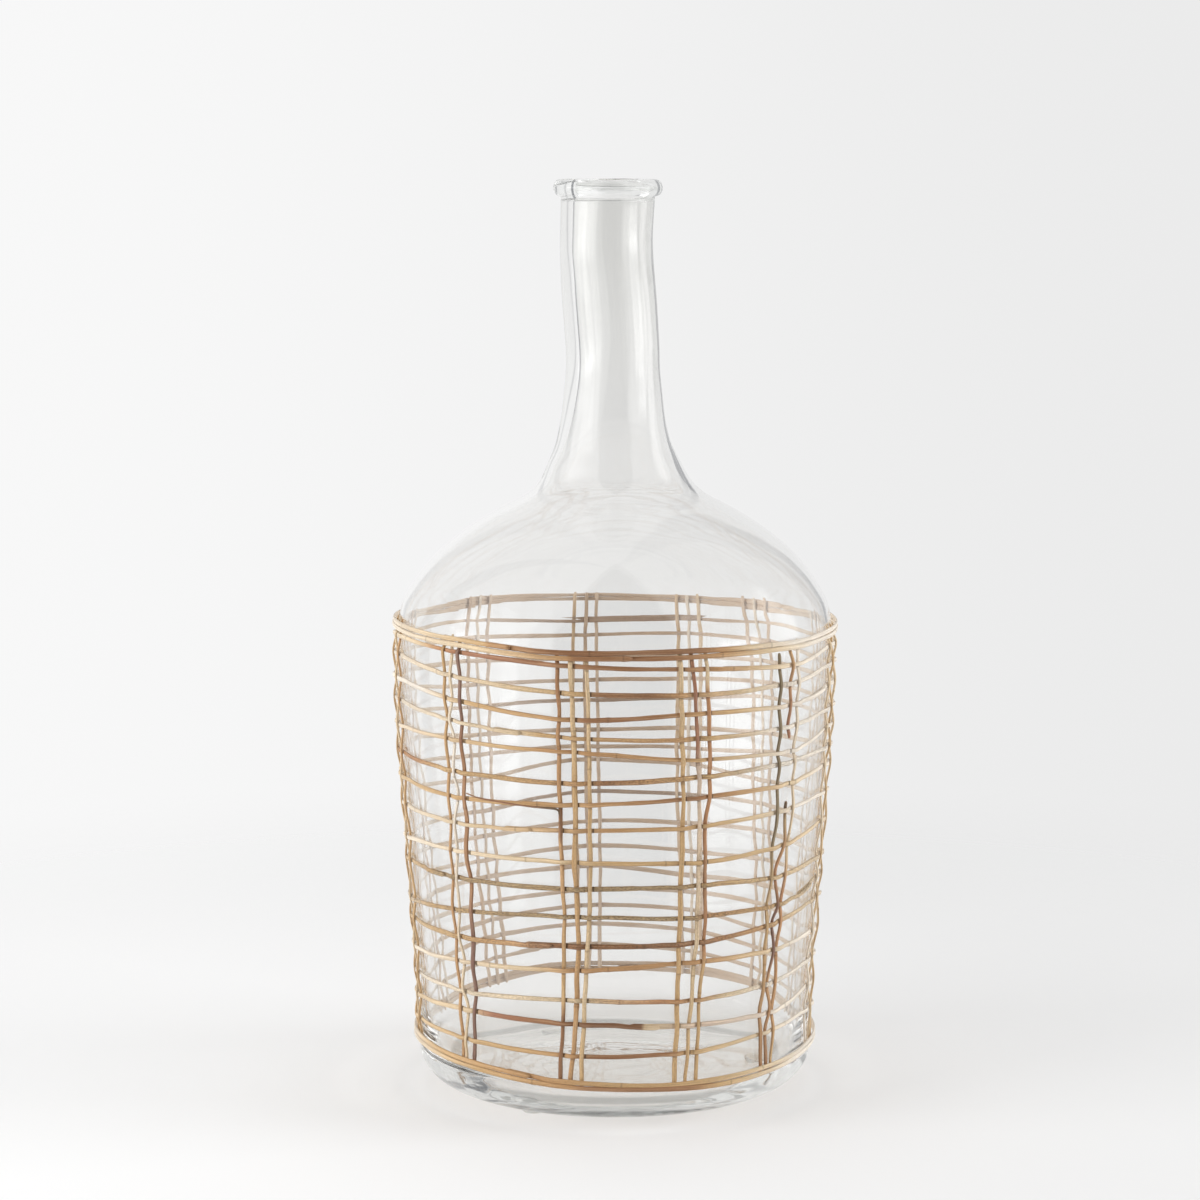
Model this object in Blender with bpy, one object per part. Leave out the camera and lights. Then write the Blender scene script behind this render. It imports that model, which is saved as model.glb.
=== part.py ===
"""Mouth-blown clear glass bottle in an open wrap of split rattan, on three clear bumper feet.

Metres, +Z up. The front faces -Y. Angles round the bottle are in degrees from the front, towards +X.
"""

import math

import bmesh
import bpy
from mathutils import Vector

# Gap left between pieces that touch
CLEARANCE = 0.0003

# Bumper feet
FOOT_HEIGHT = 0.0017
FOOT_RADIUS = 0.0066
FOOT_EDGE = 0.0005
FOOT_ANGLES = (-33, 87, 207)
FOOT_SIDES = 24

# Glass bottle, outside
HEEL_HEIGHT = 0.020
HEEL_WIDTH = 0.0255
PUNT_RADIUS = 0.068
PUNT_HEIGHT = 0.006
BASE_RADIUS = 0.1103
BODY_RADIUS = 0.1217
BODY_HEIGHT = 0.228
SHOULDER_HEIGHT = 0.102
NECK_RADIUS = 0.0261
NECK_HEIGHT = 0.1463
NECK_LEAN = 0.0048
LIP_BEAD = 0.0041
LIP_HEIGHT = 0.0097

# Glass bottle, inside
MOUTH_FLARE = 0.0005
NECK_WALL = 0.0044
SHOULDER_WALL = 0.0042
BODY_WALL = 0.0032
HEEL_WALL = 0.0045
FLOOR_THICK = 0.0100
FLOOR_RISE = 0.0070
INNER_HEEL_WIDTH = 0.020
INNER_HEEL_HEIGHT = 0.018
GLASS_SIDES = 36

# Rattan strands. The wrap rises past the foot of the shoulder and starts a lift above the heel.
CANE_THICK = 0.0011
STAKE_WIDTH = 0.0023
WEAVER_WIDTH = 0.0025
RIM_WIDTH = 0.0025
RIM_GAP = 0.0005
CROSSING_GAP = 0.0014
RIM_STANDOFF = 0.0009
STAKE_PROUD = 0.0012
WRAP_RISE = 0.0114
WRAP_LIFT = 0.0070
SPAN_STEP = 9.3
LAP_ANGLE = 8
RIM_RISE_ANGLE = 5
RIM_STEP = 8

# Outline of the body: share of its height, share of the widening from base to shoulder
BODY_SHARES = (
    (0, 0), (0.15, 0.01), (0.22, 0.07), (0.3, 0.19), (0.45, 0.39),
    (0.6, 0.6), (0.75, 0.82), (0.9, 0.98), (1, 1),
)

# Outline of the shoulder: share of its height, share of the narrowing that is still to come
SHOULDER_SHARES = (
    (0.1, 0.995), (0.22, 0.975), (0.365, 0.89), (0.51, 0.76), (0.65, 0.575),
    (0.75, 0.4), (0.825, 0.25), (0.895, 0.17), (1, 0.113),
)

# Outline of the neck: share of its height, share of the neck's radius
NECK_SHARES = ((0.08, 1.22), (0.16, 1.12), (0.25, 1.06), (0.38, 1), (0.6, 1.01), (0.85, 0.985), (1, 1))

# Lean of the axis to the left: share of the height of shoulder and neck, share of the whole lean
LEAN_SHARES = (
    (0.08, 0), (0.27, -0.15), (0.32, -0.22), (0.41, 0.06), (0.5, 0.23),
    (0.64, 0.25), (0.73, 0.5), (0.82, 0.83), (0.9, 1), (1, 0.83),
)

# Heights, as shares of the wrap's height from its top, at which the stakes' angles are given
STATION_SHARES = (0, 0.23, 0.48, 0.74, 1)

# Angles of the stakes at those heights, twelve groups of three, from the left side round by the front
STAKE_ANGLES = (
    (-82.5, -82.9, -83.3, -83.1, -83.8), (-78.5, -78.9, -79, -80.1, -79.6), (-74.5, -74.2, -75.5, -76.2, -76),
    (-48.6, -47.9, -48.6, -48.9, -48), (-45.6, -45.2, -46.5, -46.2, -46.5), (-42.9, -42, -42.4, -42.2, -43.7),
    (-14.7, -14.2, -14.1, -14, -15.3), (-11.2, -10.3, -10.5, -10.2, -12.5), (-7.2, -6.7, -6.5, -7.9, -9.5),
    (15.9, 16.6, 17.3, 17.1, 16.4), (18.7, 20.6, 21.9, 21.6, 19.5), (22.5, 24, 23.6, 24.1, 22.8),
    (45.6, 45.8, 46.1, 45.3, 45.3), (49.6, 50, 50, 48.2, 47.3), (53.3, 52.4, 52.4, 50.3, 49.6),
    (73, 71.3, 72.5, 72.3, 72.3), (77, 76.4, 77.6, 74.6, 76.8), (81.5, 79.7, 80.4, 79.2, 79.8),
    (100.5, 100, 100.3, 101, 104.4), (104, 103.6, 103.7, 104.4, 107.8), (107.4, 107.2, 107.3, 107.8, 111.2),
    (132.4, 129.2, 127.8, 124.8, 126.4), (136.4, 133, 131, 127.8, 129.4), (140.4, 136.7, 134.3, 131, 132.6),
    (155.4, 154.6, 154, 152.5, 151.6), (158.8, 158, 157.5, 155.8, 154.8), (162.1, 161.5, 161, 159.4, 158),
    (185, 184.8, 184.8, 184, 184.2), (188.1, 188.3, 188.4, 187.4, 187.4), (191.4, 192, 192.2, 190.9, 190.6),
    (217.7, 218.5, 219, 218.4, 216.6), (221.3, 222.3, 222.7, 222, 219.6), (225.2, 225.9, 226.4, 225.3, 222.8),
    (254.5, 254.3, 252.5, 247.6, 243.8), (258, 258.1, 256.3, 251.2, 246.9), (261.5, 261.7, 259.9, 254.7, 250),
)
STAKES_IN_GROUP = 3
STAKE_WIDTH_SHARES = (
    1, 0.95, 1, 0.88, 0.85, 1.2, 1.05, 1.05, 0.92, 1.25, 0.96, 0.96,
    1.05, 0.96, 0.92, 1, 0.94, 1, 0.9, 1, 1.05, 1, 0.9, 1,
    1.05, 0.95, 1, 1, 1.1, 0.95, 1, 0.9, 1.05, 0.95, 1, 0.9,
)

# Mean level of each weaver: share of the wrap's height from its top
LEVEL_SHARES = (
    0.038, 0.089, 0.144, 0.195, 0.237, 0.297, 0.356, 0.415,
    0.483, 0.551, 0.623, 0.686, 0.742, 0.814, 0.873, 0.936,
)
WEAVER_WIDTH_SHARES = (1, 1.05, 1.05, 0.95, 0.9, 1.05, 1, 0.95, 1, 1.05, 1, 1.15, 1.05, 1, 1.05, 0.95)

# How far each strand sags below its mean level at each group of stakes: share of the weavers' mean spacing
TOP_RIM_SAG_SHARES = (-0.15, -0.05, 0.17, 0.16, 0.15, 0.03, -0.03, -0.12, -0.11, -0.2, -0.2, -0.14)
WEAVER_SAG_SHARES = (
    (-0.41, -0.33, -0.05, 0.12, 0.3, -0.06, 0.17, -0.03, -0.08, 0.07, -0.07, -0.05),
    (-0.54, -0.24, 0.13, 0.23, 0.17, -0.22, 0.24, 0.01, -0.1, 0.03, -0.1, -0.21),
    (-0.51, -0.24, 0.21, 0.05, 0.09, -0.36, 0, -0.04, 0.05, 0.15, 0.04, -0.24),
    (-0.52, -0.27, 0.06, 0.16, 0.07, -0.23, 0.02, 0, 0.15, 0.3, 0.19, -0.29),
    (-0.17, -0.2, -0.1, 0.27, 0.36, -0.17, -0.02, -0.09, 0.3, 0.45, 0.39, -0.02),
    (-0.05, 0.02, 0.1, -0.05, -0.21, -0.35, 0.23, 0.44, 0.55, 0.75, 0.58, 0.08),
    (-0.02, 0.09, -0.04, -0.26, -0.36, -0.6, 0.02, 0.23, 0.45, 0.45, 0.45, 0.1),
    (0.1, 0.1, -0.03, -0.11, -0.3, -0.48, 0.34, 0.45, 0.15, 0.05, 0.49, 0.13),
    (0.3, 0.11, 0.09, 0.18, -0.04, -0.44, 0.47, 0.3, 0.3, 0.3, 0.75, 0.59),
    (0.08, 0.05, -0.01, -0.07, 0.05, -0.14, 0.38, 0.31, 0.4, 0.45, 0.7, 0.46),
    (0.48, 0.14, -0.13, 0, -0.01, -0.54, 0.2, 0.3, 0.4, 0.3, 0.54, 0.28),
    (0.23, 0.17, -0.01, -0.06, -0.34, -0.76, 0.3, 0.31, 0.4, 0.1, 0.2, 0.2),
    (0.45, 0.23, 0.02, -0.22, -0.21, -0.33, 0.35, 0.19, 0.17, 0.2, 0.35, 0.32),
    (0.31, 0.22, 0.01, 0.11, -0.07, -0.44, 0.17, 0.04, -0.25, -0.35, -0.08, 0.2),
    (0.26, -0.02, -0.04, 0.13, 0.13, -0.32, 0.14, -0.1, -0.35, -0.55, -0.35, 0.08),
    (0.15, 0.09, 0.19, 0.11, -0.17, -0.36, 0.04, -0.25, -0.5, -0.72, -0.45, -0.02),
)
BOTTOM_RIM_SAG_SHARES = (-0.2, -0.06, 0.24, 0.34, 0.21, -0.02, -0.07, -0.64, -0.75, -0.8, -0.58, -0.16)

# Group of stakes, counted from the left side, after which each strand is lapped onto itself
WEAVER_LAP_GROUPS = (3, 9, 5, 1, 8, 10, 11, 1, 9, 0, 5, 1, 8, 10, 2, 9)
RIM_LAP_GROUPS = {"top_rim_upper": 1, "top_rim_lower": 2, "bottom_rim_upper": 1, "bottom_rim_lower": 8}

# Colours of the materials
GLASS_COLOUR = (0.86, 0.89, 0.86, 1)
FOOT_COLOUR = (0.78, 0.74, 0.62, 1)
STAKE_COLOUR = (0.55, 0.36, 0.19, 1)
WEAVER_COLOUR = (0.64, 0.45, 0.26, 1)
RIM_COLOUR = (0.72, 0.52, 0.3, 1)

# Heights that follow from the sizes above
GLASS_BASE = FOOT_HEIGHT + CLEARANCE
HEEL_TOP = GLASS_BASE + HEEL_HEIGHT
SHOULDER_BASE = HEEL_TOP + BODY_HEIGHT
NECK_BASE = SHOULDER_BASE + SHOULDER_HEIGHT
LIP_BASE = NECK_BASE + NECK_HEIGHT
FLOOR_TOP = GLASS_BASE + FLOOR_THICK
INNER_HEEL_TOP = FLOOR_TOP + INNER_HEEL_HEIGHT
CONTACT_RADIUS = BASE_RADIUS - HEEL_WIDTH
WRAP_TOP = SHOULDER_BASE + WRAP_RISE
WRAP_HEIGHT = WRAP_TOP - HEEL_TOP - WRAP_LIFT
WEAVER_SPACING = WRAP_HEIGHT / (len(LEVEL_SHARES) + 1)
RIM_SPACING = RIM_WIDTH + RIM_GAP
GROUPS = len(STAKE_ANGLES) // STAKES_IN_GROUP
MIDDLE_STATION = len(STATION_SHARES) // 2

# Distances of the strands' inner faces from the glass
SPAN_SAG = BODY_RADIUS * (1 - math.cos(math.radians(SPAN_STEP) / 2))
INNER_LAYER = CLEARANCE + SPAN_SAG
OUTER_LAYER = INNER_LAYER + CANE_THICK + CROSSING_GAP
RIM_LAYER = OUTER_LAYER + RIM_STANDOFF


def along(knots, at):
    """Value at one place on a smooth curve through knots of (place, value) that never overshoots them."""
    at = min(max(at, knots[0][0]), knots[-1][0])
    right = next((i for i, knot in enumerate(knots) if knot[0] > at), len(knots) - 1)
    left = right - 1
    rises = [(b[1] - a[1]) / (b[0] - a[0]) for a, b in zip(knots, knots[1:])]

    def slope(i):
        if i == 0 or i == len(knots) - 1:
            return rises[min(i, len(rises) - 1)]
        before, after = rises[i - 1], rises[i]
        return 2 * before * after / (before + after) if before * after > 0 else 0

    width = knots[right][0] - knots[left][0]
    t = (at - knots[left][0]) / width
    return (
        knots[left][1] * (1 + 2 * t) * (1 - t) ** 2
        + slope(left) * width * t * (1 - t) ** 2
        + knots[right][1] * (3 - 2 * t) * t ** 2
        + slope(right) * width * (t - 1) * t ** 2
    )


def outline_knots():
    """(height, outer radius) of the glass from the top of the heel to the foot of the lip."""
    knots = []
    for up, out in BODY_SHARES:
        knots.append((HEEL_TOP + up * BODY_HEIGHT, BASE_RADIUS + out * (BODY_RADIUS - BASE_RADIUS)))
    for up, out in SHOULDER_SHARES:
        knots.append((SHOULDER_BASE + up * SHOULDER_HEIGHT, NECK_RADIUS + out * (BODY_RADIUS - NECK_RADIUS)))
    for up, out in NECK_SHARES:
        knots.append((NECK_BASE + up * NECK_HEIGHT, NECK_RADIUS * out))
    return knots


def wall_knots():
    """(height, wall) of the glass from the top of the inner heel to the lip."""
    return [
        (INNER_HEEL_TOP, HEEL_WALL),
        (INNER_HEEL_TOP + INNER_HEEL_HEIGHT, BODY_WALL),
        (SHOULDER_BASE, BODY_WALL),
        (NECK_BASE, SHOULDER_WALL),
        (LIP_BASE, NECK_WALL),
    ]


def lean_at(height):
    """Sideways shift of the bottle's axis at a height."""
    share = (height - SHOULDER_BASE) / (SHOULDER_HEIGHT + NECK_HEIGHT)
    return -NECK_LEAN * along(LEAN_SHARES, share)


OUTLINE = outline_knots()


def glass_radius(height):
    """Outer radius of the glass at a height."""
    return along(OUTLINE, height)


def arc(centre, width, height, start, end, steps):
    """Points of (radius, height) on an upright elliptical arc. Angles rise from outwards, in degrees."""
    turns = [math.radians(start + (end - start) * i / steps) for i in range(steps + 1)]
    return [(centre[0] + width * math.cos(t), centre[1] + height * math.sin(t)) for t in turns]


def dome(radius, edge, rise, shares):
    """Points of (radius, height) on a smooth rise to the axis, from the edge inwards."""
    return [(radius * s, edge + rise * (1 + math.cos(math.pi * s)) / 2) for s in shares]


def outer_rows():
    """Glass outline from the middle of the base up to the top of the lip."""
    rows = dome(PUNT_RADIUS, GLASS_BASE, PUNT_HEIGHT, (0, 0.4, 0.75, 1))
    rows += arc((CONTACT_RADIUS, HEEL_TOP), HEEL_WIDTH, HEEL_HEIGHT, -90, 0, 4)
    body = [HEEL_TOP + up * BODY_HEIGHT for up, _ in BODY_SHARES[1:]]
    shoulder = [SHOULDER_BASE + up * SHOULDER_HEIGHT for up, _ in SHOULDER_SHARES]
    neck = [NECK_BASE + up * NECK_HEIGHT for up, _ in NECK_SHARES]
    rows += [(glass_radius(z), z) for z in body + shoulder + neck]
    rows += arc((NECK_RADIUS, LIP_BASE + LIP_HEIGHT / 2), LIP_BEAD, LIP_HEIGHT / 2, -60, 90, 5)
    return rows


def inner_rows():
    """Glass outline from the mouth down the inside to the middle of the floor."""
    walls = wall_knots()
    edge = MOUTH_FLARE - NECK_WALL
    rows = arc((NECK_RADIUS, LIP_BASE + LIP_HEIGHT / 2), edge, LIP_HEIGHT / 2, 60, 0, 2)
    heights = [z for z, _ in reversed(OUTLINE) if z > INNER_HEEL_TOP]
    for z in heights:
        slope = (glass_radius(z + CLEARANCE) - glass_radius(z - CLEARANCE)) / (2 * CLEARANCE)
        run = math.hypot(1, slope)
        wall = along(walls, z)
        rows.append((glass_radius(z) - wall / run, z + wall * slope / run))
    foot_radius = glass_radius(INNER_HEEL_TOP) - HEEL_WALL
    centre = (foot_radius - INNER_HEEL_WIDTH, INNER_HEEL_TOP)
    rows += arc(centre, INNER_HEEL_WIDTH, INNER_HEEL_HEIGHT, 0, -90, 3)
    rows += dome(PUNT_RADIUS, FLOOR_TOP, FLOOR_RISE, (1, 0.6, 0.3, 0))
    return rows


def material(name, colour, roughness, transmission=0):
    """Plain Principled material."""
    made = bpy.data.materials.new(name)
    made.use_nodes = True
    shader = made.node_tree.nodes["Principled BSDF"]
    shader.inputs["Base Color"].default_value = colour
    shader.inputs["Roughness"].default_value = roughness
    shader.inputs["Metallic"].default_value = 0
    shader.inputs["Transmission Weight"].default_value = transmission
    made.diffuse_color = colour
    return made


def add_object(name, bm, look, sharp_angle):
    """Turns a bmesh into a named object, shaded smooth but for its sharp edges."""
    bmesh.ops.recalc_face_normals(bm, faces=bm.faces)
    mesh = bpy.data.meshes.new(name)
    bm.to_mesh(mesh)
    bm.free()
    mesh.shade_smooth()
    mesh.set_sharp_from_angle(angle=math.radians(sharp_angle))
    mesh.materials.append(look)
    made = bpy.data.objects.new(name, mesh)
    bpy.context.collection.objects.link(made)
    return made


def glass_bottle(look):
    """The bottle: its outline spun round the axis, then leant at the neck."""
    bm = bmesh.new()
    points = [bm.verts.new((radius, 0, height)) for radius, height in outer_rows() + inner_rows()]
    edges = [bm.edges.new(pair) for pair in zip(points, points[1:])]
    bmesh.ops.spin(
        bm, geom=points + edges, cent=(0, 0, 0), axis=(0, 0, 1),
        angle=2 * math.pi, steps=GLASS_SIDES, use_merge=True,
    )
    bmesh.ops.remove_doubles(bm, verts=bm.verts, dist=CLEARANCE / 2)
    for vert in bm.verts:
        vert.co.x += lean_at(vert.co.z)
    return add_object("glass_bottle", bm, look, 50)


def bumper_foot(number, angle, look):
    """One clear foot under the flat ring of the base."""
    bm = bmesh.new()
    bmesh.ops.create_cone(
        bm, cap_ends=True, segments=FOOT_SIDES, radius1=FOOT_RADIUS - FOOT_EDGE,
        radius2=FOOT_RADIUS, depth=FOOT_HEIGHT,
    )
    made = add_object(f"bumper_foot_{number}", bm, look, 30)
    ring = CONTACT_RADIUS - FOOT_RADIUS / 2
    turn = math.radians(angle)
    made.location = (ring * math.sin(turn), -ring * math.cos(turn), FOOT_HEIGHT / 2)
    return made


def stake_angle(stake, height):
    """Angle of a stake at a height."""
    share = (WRAP_TOP - height) / WRAP_HEIGHT
    return along(list(zip(STATION_SHARES, STAKE_ANGLES[stake])), share)


def group_knots(shares):
    """(angle, share) at every group's middle stake, carried on past a full turn both ways."""
    middle = STAKES_IN_GROUP // 2
    angles = [STAKE_ANGLES[g * STAKES_IN_GROUP + middle][MIDDLE_STATION] for g in range(GROUPS)]
    return [(angle + turn, share) for turn in (-360, 0, 360, 720) for angle, share in zip(angles, shares)]


def level_at(level, sags, angle):
    """Height of a level strand at an angle, from its mean level's share and its row of sag shares."""
    return WRAP_TOP - level * WRAP_HEIGHT - WEAVER_SPACING * along(group_knots(sags), angle)


def weaver_height(weaver, angle):
    """Height of a weaver at an angle."""
    return level_at(LEVEL_SHARES[weaver], WEAVER_SAG_SHARES[weaver], angle)


def crossing(stake, weaver):
    """(angle, height) at which a stake and a weaver cross."""
    angle = STAKE_ANGLES[stake][MIDDLE_STATION]
    for _ in range(3):
        height = weaver_height(weaver, angle)
        angle = stake_angle(stake, height)
    return angle, height


def stake_outside(stake, weaver):
    """Whether the stake passes outside the weaver. Neighbours differ, as in a plain weave."""
    return (stake + weaver) % 2 == 1


def wrap_point(angle, height, distance, aside=0):
    """A point at a distance from the glass, moved aside along the glass's own direction round the bottle."""
    turn = math.radians(angle)
    radius = glass_radius(height) + distance
    outward = Vector((math.sin(turn), -math.cos(turn), 0))
    sideways = Vector((math.cos(turn), math.sin(turn), 0))
    return outward * radius + sideways * aside + Vector((0, 0, height))


def strand(name, sections, look):
    """A flat strand through four-cornered sections."""
    bm = bmesh.new()
    rings = [[bm.verts.new(corner) for corner in section] for section in sections]
    for first, second in zip(rings, rings[1:]):
        for i in range(len(first)):
            j = (i + 1) % len(first)
            bm.faces.new((first[i], first[j], second[j], second[i]))
    bm.faces.new(rings[0])
    bm.faces.new(rings[-1])
    return add_object(name, bm, look, 50)


def upright_section(angle, height, layer, width):
    """Corners of a stake's section: across the strand lies round the bottle."""
    half = width / 2
    return [
        wrap_point(angle, height, layer, -half),
        wrap_point(angle, height, layer, half),
        wrap_point(angle, height, layer + CANE_THICK, half),
        wrap_point(angle, height, layer + CANE_THICK, -half),
    ]


def level_section(angle, height, layer, width):
    """Corners of a weaver's section: across the strand lies up the bottle."""
    half = width / 2
    return [
        wrap_point(angle, height - half, layer),
        wrap_point(angle, height + half, layer),
        wrap_point(angle, height + half, layer + CANE_THICK),
        wrap_point(angle, height - half, layer + CANE_THICK),
    ]


def stake_strand(number, look):
    """One upright strand, from just above the top rim down behind the bottom rim."""
    width = STAKE_WIDTH * STAKE_WIDTH_SHARES[number]
    middle = STAKE_ANGLES[number][MIDDLE_STATION]
    top_rim = level_at(0, TOP_RIM_SAG_SHARES, middle)
    bottom_rim = level_at(1, BOTTOM_RIM_SAG_SHARES, middle)
    rim_half = (RIM_SPACING + RIM_WIDTH) / 2
    stops = [(top_rim + rim_half + STAKE_PROUD, INNER_LAYER), (top_rim, INNER_LAYER)]
    for weaver in range(len(LEVEL_SHARES)):
        layer = OUTER_LAYER if stake_outside(number, weaver) else INNER_LAYER
        stops.append((crossing(number, weaver)[1], layer))
    stops.append((bottom_rim - rim_half, INNER_LAYER))
    sections = [upright_section(stake_angle(number, z), z, layer, width) for z, layer in stops]
    return strand(f"stake_{number + 1:02d}", sections, look)


def between(start, end, step):
    """Angles that part the stretch from start to end evenly, in steps no longer than the given one."""
    count = math.ceil((end - start) / step)
    return [start + (end - start) * i / count for i in range(1, count)]


def lap_angles(before, after):
    """Start and end of a lap in the middle of a gap between two groups."""
    start = (before + after - LAP_ANGLE) / 2
    return start, start + LAP_ANGLE


def weaver_strand(number, look):
    """One level strand, woven round and lapped onto its own start."""
    first = (WEAVER_LAP_GROUPS[number] + 1) * STAKES_IN_GROUP
    count = len(STAKE_ANGLES)
    stops = []
    for i in range(first, first + count):
        stake_number = i % count
        angle = crossing(stake_number, number)[0] + 360 * (i // count)
        layer = INNER_LAYER if stake_outside(stake_number, number) else OUTER_LAYER
        if stops and i % STAKES_IN_GROUP == 0:
            stops += [(a, INNER_LAYER) for a in between(stops[-1][0], angle, SPAN_STEP)]
        stops.append((angle, layer))
    start, end = lap_angles(stops[-1][0] - 360, stops[0][0])
    lead = [(start, INNER_LAYER), (end, INNER_LAYER)]
    lead += [(a, INNER_LAYER) for a in between(end, stops[0][0], SPAN_STEP)]
    tail = [(a, INNER_LAYER) for a in between(stops[-1][0], start + 360, SPAN_STEP)]
    tail += [(start + 360, OUTER_LAYER), (end + 360, OUTER_LAYER)]
    width = WEAVER_WIDTH * WEAVER_WIDTH_SHARES[number]
    sections = [
        level_section(angle, weaver_height(number, angle), layer, width)
        for angle, layer in lead + stops + tail
    ]
    return strand(f"weaver_{number + 1:02d}", sections, look)


def rim_strand(name, level, sags, side, look):
    """One rim strand, outside all stakes, with its start tucked in under its own end."""
    first = (RIM_LAP_GROUPS[name] + 1) * STAKES_IN_GROUP
    station = 0 if level == 0 else len(STATION_SHARES) - 1
    before = STAKE_ANGLES[first - 1][station]
    after = STAKE_ANGLES[first][station]
    start, end = lap_angles(before, after)
    clear = end + RIM_RISE_ANGLE
    stops = [(start, INNER_LAYER), (end, INNER_LAYER), (clear, RIM_LAYER)]
    stops += [(a, RIM_LAYER) for a in between(clear, start + 360, RIM_STEP)]
    stops += [(start + 360, RIM_LAYER), (end + 360, RIM_LAYER)]
    shift = side * RIM_SPACING / 2
    sections = [
        level_section(angle, level_at(level, sags, angle) + shift, layer, RIM_WIDTH)
        for angle, layer in stops
    ]
    return strand(name, sections, look)


def main():
    """Builds the whole object."""
    for old in list(bpy.data.objects):
        bpy.data.objects.remove(old)
    glass_bottle(material("glass", GLASS_COLOUR, 0.03, 1))
    foot_look = material("clear_foot", FOOT_COLOUR, 0.25, 0.6)
    for number, angle in enumerate(FOOT_ANGLES, 1):
        bumper_foot(number, angle, foot_look)
    stake_look = material("rattan_stake", STAKE_COLOUR, 0.5)
    for number in range(len(STAKE_ANGLES)):
        stake_strand(number, stake_look)
    weaver_look = material("rattan_weaver", WEAVER_COLOUR, 0.48)
    for number in range(len(LEVEL_SHARES)):
        weaver_strand(number, weaver_look)
    rim_look = material("rattan_rim", RIM_COLOUR, 0.45)
    rim_strand("top_rim_upper", 0, TOP_RIM_SAG_SHARES, 1, rim_look)
    rim_strand("top_rim_lower", 0, TOP_RIM_SAG_SHARES, -1, rim_look)
    rim_strand("bottom_rim_upper", 1, BOTTOM_RIM_SAG_SHARES, 1, rim_look)
    rim_strand("bottom_rim_lower", 1, BOTTOM_RIM_SAG_SHARES, -1, rim_look)


main()
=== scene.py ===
"""Looks of the mouth-blown glass bottle in an open wrap of split rattan.

Metres, +Z up. The front faces -Y. Angles round the bottle are in degrees from the front, towards +X.
"""

import math
import random
from collections import namedtuple

import bmesh
import bpy
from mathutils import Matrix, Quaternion, Vector, noise


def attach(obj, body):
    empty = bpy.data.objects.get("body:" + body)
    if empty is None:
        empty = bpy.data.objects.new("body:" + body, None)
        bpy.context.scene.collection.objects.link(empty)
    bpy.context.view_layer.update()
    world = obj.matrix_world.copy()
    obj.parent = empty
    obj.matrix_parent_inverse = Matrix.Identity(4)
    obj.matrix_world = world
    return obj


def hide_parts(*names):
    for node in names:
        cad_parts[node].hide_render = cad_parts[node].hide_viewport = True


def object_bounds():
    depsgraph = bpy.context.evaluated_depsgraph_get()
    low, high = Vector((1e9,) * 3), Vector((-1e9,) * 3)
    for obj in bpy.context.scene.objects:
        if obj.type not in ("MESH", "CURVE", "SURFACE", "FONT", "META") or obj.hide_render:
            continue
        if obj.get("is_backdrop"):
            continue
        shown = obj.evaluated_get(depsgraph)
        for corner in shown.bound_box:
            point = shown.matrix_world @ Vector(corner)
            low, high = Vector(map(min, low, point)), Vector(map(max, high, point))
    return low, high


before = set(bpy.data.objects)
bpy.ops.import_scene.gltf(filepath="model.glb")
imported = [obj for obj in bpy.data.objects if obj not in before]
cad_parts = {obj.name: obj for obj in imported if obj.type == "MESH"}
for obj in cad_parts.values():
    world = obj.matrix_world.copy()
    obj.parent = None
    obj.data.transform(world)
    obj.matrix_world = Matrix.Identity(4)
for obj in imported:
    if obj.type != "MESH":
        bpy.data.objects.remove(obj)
cad_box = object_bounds()

BODY = "root"

# Studio. Edge strips: lowest and highest angle from +Y to +X, strength. The dim room's angles and those of
# the panels go from -Y to +X. Panels: lowest and highest angle, blur, brightness, lowest and highest z of the
# directions. Lamps: place, size, power.
FLOOR_RADIUS = 20
FLOOR_FADE = (0.32, 1.0)
ROOM_LIGHT = 0.46
EDGE_STRIPS = ((-63, -54, 0.75), (-27, -22, 0.3), (22, 27, 0.8), (30, 37, 0.6))
EDGE_STRIP_BLUR = 2
EDGE_STRIP_COLOUR = (0.08, 0.09, 0.11)
BACKDROP_LEFT = (0.972, 0.972, 0.972)
BACKDROP_RIGHT = (0.922, 0.922, 0.922)
BACKDROP_TURN = 0.2
DIM_ROOM = (-31, 34)
DIM_ROOM_BLUR = 4
DIM_LEVEL = 0.12
PANELS = (
    (-96, -48, 4, 1.75, -0.13, 0.6), (92, 110, 5, 2.0, -0.13, 0.6),
    (-92, -54, 3, 3.4, -0.05, 0.1), (58, 80, 3, 3.2, -0.05, 0.1),
    (-74, -42, 9, 1.35, -0.5, -0.13), (62, 92, 9, 1.5, -0.5, -0.13),
)
PANEL_EDGE = 0.08
LAMPS = {
    "soft_lamp_left": ((-2.0, -0.9, 0.8), 1.5, 37),
    "soft_lamp_right": ((2.1, -0.2, 0.8), 1.2, 30),
    "soft_lamp_top": ((0.0, 0.2, 2.4), 1.4, 12),
}
LAMP_TARGET = (0, 0, 0.2)
LIGHT_BOUNCES = 48

# Camera
IMAGE_SIZE = 1200
AXIS_PIXEL = 615
FOCAL_PIXELS = 3275
SENSOR = 36
CAMERA_DISTANCE = 1.8213
CAMERA_HEIGHT = 0.4888
CAMERA_TILT = 6.72

# Glass bottle, outside, as in the part
GLASS_BASE = 0.002
HEEL_HEIGHT = 0.020
HEEL_WIDTH = 0.0255
PUNT_RADIUS = 0.068
PUNT_HEIGHT = 0.006
BASE_RADIUS = 0.1103
BODY_RADIUS = 0.1217
BODY_HEIGHT = 0.228
SHOULDER_HEIGHT = 0.102
NECK_RADIUS = 0.0261
NECK_HEIGHT = 0.1463
NECK_LEAN = 0.0048
LIP_BEAD = 0.0041
LIP_HEIGHT = 0.0097

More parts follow.
